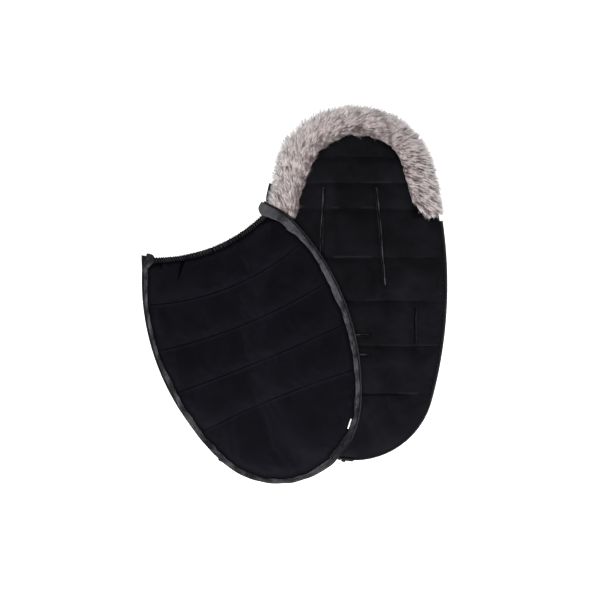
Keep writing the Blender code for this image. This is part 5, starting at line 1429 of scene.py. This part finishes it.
def lumps(points, *layers):
    """Random heights at points, summed over layers of (amount, size, seed)."""
    return np.array([
        sum(amount * rough(x, y, size, seed) for amount, size, seed in layers) for x, y, _ in points
    ])


def unit(rows):
    return rows / np.maximum(np.linalg.norm(rows, axis=1, keepdims=True), 1e-9)


def fur_flow(hairs, swing):
    """Which way hair lies: along the strip and outwards, then fanning out to the right past the parting."""
    lean = np.interp(hairs.share, (0.0, 0.25, 0.6, 1.0), (1.05, 0.62, 0.34, -0.25))
    lean_after = np.interp(hairs.share, (0.0, 0.3, 0.7, 1.0), (1.25, 1.05, 0.85, 0.35))
    turn = beyond_parting(hairs.s, 0.012)
    end = np.clip((hairs.s - 0.80) / 0.07, 0.0, 1.0)
    angle = lean * (1 - turn) + (lean_after * (1 - end) + 0.25 * end) * turn + swing
    flow = hairs.tangent * np.cos(angle)[:, None] + hairs.outward * np.sin(angle)[:, None]
    return unit(np.column_stack([flow, np.zeros(len(flow))]))


def rooted(rng, rim, count):
    """Hairs rooted at random all over the pelt."""
    s = rng.uniform(0.012, FUR_LENGTH - 0.020, count)
    edge = fur_edge(s) + 0.0030 * np.array([rough(place, 0.0, 0.017, 46.0) for place in s])
    share = rng.uniform(0.0, 1.0, count)
    start = 0.0015 + 0.011 * np.clip((0.17 - s) / 0.08, 0.0, 1.0)
    start += 0.005 * np.exp(-(((s - 0.44) / 0.11) ** 4))
    inset = start + share * (edge - 0.0055 - start)
    runs = np.array([p.s for p in rim])
    path = np.array([(p.x, p.y, p.nx, p.ny) for p in rim])
    at = np.column_stack([np.interp(s, runs, path[:, column]) for column in range(4)])
    outward = unit(at[:, 2:])
    tangent = np.column_stack([outward[:, 1], -outward[:, 0]])
    root = np.column_stack([at[:, :2] - outward * inset[:, None], pelt_top(inset, edge) - 0.0012])
    return Hairs(s, share, edge, tangent, outward, root)


def grown(hairs, length, swing):
    """Where hairs have their middles and tips: up off the pelt, over with the flow, and down at the edges."""
    flow = fur_flow(hairs, swing)
    swell = lumps(hairs.root, (1.0, 0.022, 41.0))
    right = beyond_parting(hairs.s, 0.02)
    rise = 0.55 + 0.25 * swell + 0.45 * right
    length = length * (1.0 - 0.22 * right)
    up = np.array((0.0, 0.0, 1.0))
    middle = hairs.root + (flow * 0.80 + up * rise[:, None]) * (length * 0.45)[:, None]
    droop = -0.12 - 0.5 * np.clip(0.25 - hairs.share, 0.0, 1.0) - 0.35 * np.clip(hairs.share - 0.8, 0.0, 1.0)
    tip = middle + (flow * 0.96 + up * droop[:, None]) * (length * 0.55)[:, None]
    return middle, tip


def nearest_tufts(hairs, tufts):
    tree = kdtree.KDTree(len(tufts.root))
    for number, point in enumerate(tufts.root):
        tree.insert(Vector(point), number)
    tree.balance()
    return np.array([tree.find(Vector(point))[1] for point in hairs.root])


def hair_tones(rng, hairs, tufts, tuft):
    """How brown each lock is, 0 to 1: by its tuft, in streaks along the flow, with painted shade along the
    inner edge and most in the parting, and painted light on the outer fringe.
    """
    s, across = tufts.s, tufts.share
    beyond = beyond_parting(s, 0.02)
    patches = lumps(tufts.root, (0.30, 0.018, 44.0), (0.25, 0.008, 45.0))
    # Painted shade along the inner edge
    inner = np.clip((across - 0.55) / 0.45, 0.0, 1.0) * (1.0 - 0.15 * beyond)
    off_whorl = (tufts.root[:, 0] - WHORL[0]) ** 2 + (tufts.root[:, 1] - WHORL[1]) ** 2
    tone = 0.02 + 0.16 * np.exp(-(((s - 0.45) / 0.06) ** 2)) + 0.10 * np.exp(-((s / 0.20) ** 2))
    tone -= 0.24 * beyond
    tone += 0.10 * np.clip((s - 0.66) / 0.06, 0.0, 1.0)
    tone += 0.95 * inner
    # Painted light on the outer fringe
    tone -= 0.35 * np.clip(1.0 - across / 0.30, 0.0, 1.0)
    tone += 0.7 * np.exp(-off_whorl / 0.012 ** 2)
    tone += patches * (1.0 + 0.4 * beyond)
    tone += rng.normal(0.0, 0.24, TUFTS)

    s, depth = hairs.s, -hairs.share * hairs.edge
    slant = np.interp(s, (PARTING - 0.03, PARTING + 0.03), (0.62, 0.95))
    crosswise = depth * np.cos(slant) - s * np.sin(slant)
    lengthwise = s * np.cos(slant) + depth * np.sin(slant)
    streak = np.array([
        rough(a, 0.16 * b, 0.0034, 47.0) + 0.6 * rough(a, 0.2 * b, 0.0062, 48.0)
        for a, b in zip(crosswise, lengthwise)
    ])
    streak *= 1.25 + 1.7 * beyond_parting(s, 0.02)
    tone = np.clip(tone[tuft] + streak + rng.normal(0.0, 0.12, STRANDS), 0.0, 1.0)
    # Painted shade in the parting's hollow
    parting_shade = np.exp(-(((s - PARTING - 0.10 * (hairs.share - 0.5)) / 0.009) ** 2))
    return np.clip(tone + 0.65 * parting_shade, 0.0, 1.0)


def build_fur():
    """Locks of hair rooted on the pelt, bent over with the flow, their tips drawn together into tufts."""
    rng = np.random.default_rng(7)
    rim = BACK.rim(FUR_LOW, 0.003, BACK.head)
    hairs, tufts = rooted(rng, rim, STRANDS), rooted(rng, rim, TUFTS)
    s, share, root = hairs.s, hairs.share, hairs.root
    swing = lumps(tufts.root, (0.50, 0.034, 42.0), (0.22, 0.011, 43.0))
    tuft_length = rng.uniform(*TUFT_LENGTHS, TUFTS)
    tuft_middle, tuft_tip = grown(tufts, tuft_length, swing)
    tuft = nearest_tufts(hairs, tufts)
    length = tuft_length[tuft] * rng.uniform(0.80, 1.08, STRANDS)
    middle, tip = grown(hairs, length, swing[tuft] + rng.normal(0.0, 0.10, STRANDS))

    drawn = 1.0 - 0.6 * np.clip((share - 0.76) / 0.24, 0.0, 1.0) - 0.25 * np.clip(1.0 - share / 0.3, 0.0, 1.0)
    pull = (rng.uniform(0.66, 0.96, STRANDS) * drawn)[:, None]
    tip = tip + (tuft_tip[tuft] - tip) * pull
    middle = middle + (tuft_middle[tuft] - middle) * pull * 0.62
    root = root + (tufts.root[tuft] - root) * 0.25
    stray = rng.uniform(0.0, 1.0, STRANDS) < 0.09
    tip[stray] += rng.normal(0.0, 0.0040, (int(stray.sum()), 3))
    for points, height in ((middle, FUR_TOP - 0.001), (tip, FUR_TOP)):
        points[:, 2] = height - np.log1p(np.exp((height - points[:, 2]) / 0.0015)) * 0.0015
        points[:, 2] = np.maximum(points[:, 2], 0.0025)
    for number in np.nonzero(s < 0.16)[0]:
        for points, room in ((root, 0.003), (middle, 0.0006), (tip, 0.0002)):
            limit = under_cover(points[number, 0], points[number, 1])
            if limit is not None:
                points[number, 2] = min(points[number, 2], limit - room)

    tone = hair_tones(rng, hairs, tufts, tuft)
    width = rng.uniform(*LOCK_WIDTHS, STRANDS)
    side = unit(np.cross(tip - root, rng.normal(0.0, 1.0, (STRANDS, 3))))
    other = unit(np.cross(tip - root, side))
    stops = np.stack([root, middle, tip], axis=1)
    template = lock_shape()
    shape = points_of(template)
    level = np.clip(shape[:, 2] + 0.5, 0.0, 1.0)
    stop = np.clip(np.round(level * 2).astype(int), 0, 2)
    for number, chosen in enumerate(np.array_split(np.argsort(s, kind="stable"), FUR_PIECES)):
        spread = shape[:, 0][None, :, None] * side[chosen][:, None, :]
        spread = spread + shape[:, 1][None, :, None] * other[chosen][:, None, :]
        places = stops[chosen][:, stop] + spread * width[chosen][:, None, None]
        # Painted light: outer fringe strands are moved up the ramp towards the pale tip colour
        fringe_light = 0.34 * np.clip(1.0 - share[chosen] / 0.35, 0.0, 1.0)
        marks = {
            "tip": np.clip(level[None, :] + fringe_light[:, None], 0.0, 1.0),
            "tone": np.broadcast_to(tone[chosen][:, None], (len(chosen), len(level))),
        }
        locks = dress(repeated(f"fur_locks_{number + 1}", template.copy(), places, marks), FUR)
        bend_with_hood(locks)
        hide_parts("fur_left", "fur_hood", "fur_right")


# Pieces that keep their shape, with better finishes

KEPT = {
    "grip_patch_upper": RUBBER, "grip_patch_lower": RUBBER,
    "left_slider": GUNMETAL, "right_slider": GUNMETAL, "left_pull": GUNMETAL, "right_pull": GUNMETAL,
    "back_zip_box_right": GUNMETAL, "cover_zip_box_left": GUNMETAL,
    "back_zip_pin_left": GUNMETAL, "cover_zip_pin_right": GUNMETAL,
}


def finish_kept():
    for name, finish in KEPT.items():
        mesh = bpy.data.objects[name].data
        mesh.materials.clear()
        mesh.materials.append(finish)


# Camera, light and floor

CAMERA_AT = (-0.1624, -0.0329, 3.929)
LIGHTS_AIM = (-0.16, 0.0, 0.0)
SOFTBOXES = (  # name, place, watts, size
    ("softbox", (-0.7, -2.5, 1.9), 124.0, 2.2),
    ("softbox_behind", (0.4, 2.6, 1.7), 24.0, 2.4),
)
WHITE = (1.0, 1.0, 1.0, 1.0)


def set_lights(scene):
    world = bpy.data.worlds.new("studio")
    world.use_nodes = True
    background = world.node_tree.nodes["Background"].inputs
    background["Color"].default_value, background["Strength"].default_value = WHITE, 0.74
    scene.world = world
    for name, place, watts, size in SOFTBOXES:
        lamp = bpy.data.objects.new(name, bpy.data.lights.new(name, "AREA"))
        scene.collection.objects.link(lamp)
        lamp.data.energy, lamp.data.size = watts, size
        lamp.location = place
        lamp.rotation_euler = (Vector(LIGHTS_AIM) - lamp.location).to_track_quat("-Z", "Y").to_euler()


def set_floor(scene):
    """A pale floor, whose glow shows to the camera and in reflections but doesn't light the cloth."""
    material, tree, shader = start_finish("studio floor", 0.9)
    shader.inputs["Base Color"].default_value = (0.86, 0.86, 0.86, 1.0)
    rays = add(tree, "LightPath").outputs
    seen = rays["Is Camera Ray"]
    for ray in ("Is Glossy Ray", "Is Transmission Ray"):
        seen = add(tree, "Math", {"operation": "MAXIMUM"}, {0: seen, 1: rays[ray]}).outputs[0]
    glow = add(tree, "Math", {"operation": "MULTIPLY"}, {0: seen, 1: 0.75}).outputs[0]
    tree.links.new(glow, shader.inputs["Emission Strength"])
    shader.inputs["Emission Color"].default_value = WHITE
    bm = bmesh.new()
    bmesh.ops.create_grid(bm, x_segments=4, y_segments=4, size=6.0)
    mesh = put_back(bm, bpy.data.meshes.new("floor"))
    mesh.materials.append(material)
    floor = bpy.data.objects.new("floor", mesh)
    scene.collection.objects.link(floor)


def set_stage():
    scene = bpy.context.scene
    camera = bpy.data.objects.new("camera", bpy.data.cameras.new("camera"))
    scene.collection.objects.link(camera)
    camera.location = CAMERA_AT
    camera.data.lens, camera.data.sensor_width = 85.0, 36.0
    scene.camera = camera
    set_lights(scene)
    set_floor(scene)
    scene.view_settings.view_transform = "Standard"


build_back_lining()
build_back_shell()
build_back_filling()
for harness_slot in SLOTS:
    build_welt(harness_slot)
build_zips()
build_cover_face()
build_cover_lining()
build_cover_filling()
build_band()
build_hem()
build_label()
build_pelt()
build_fur()
finish_kept()
set_stage()
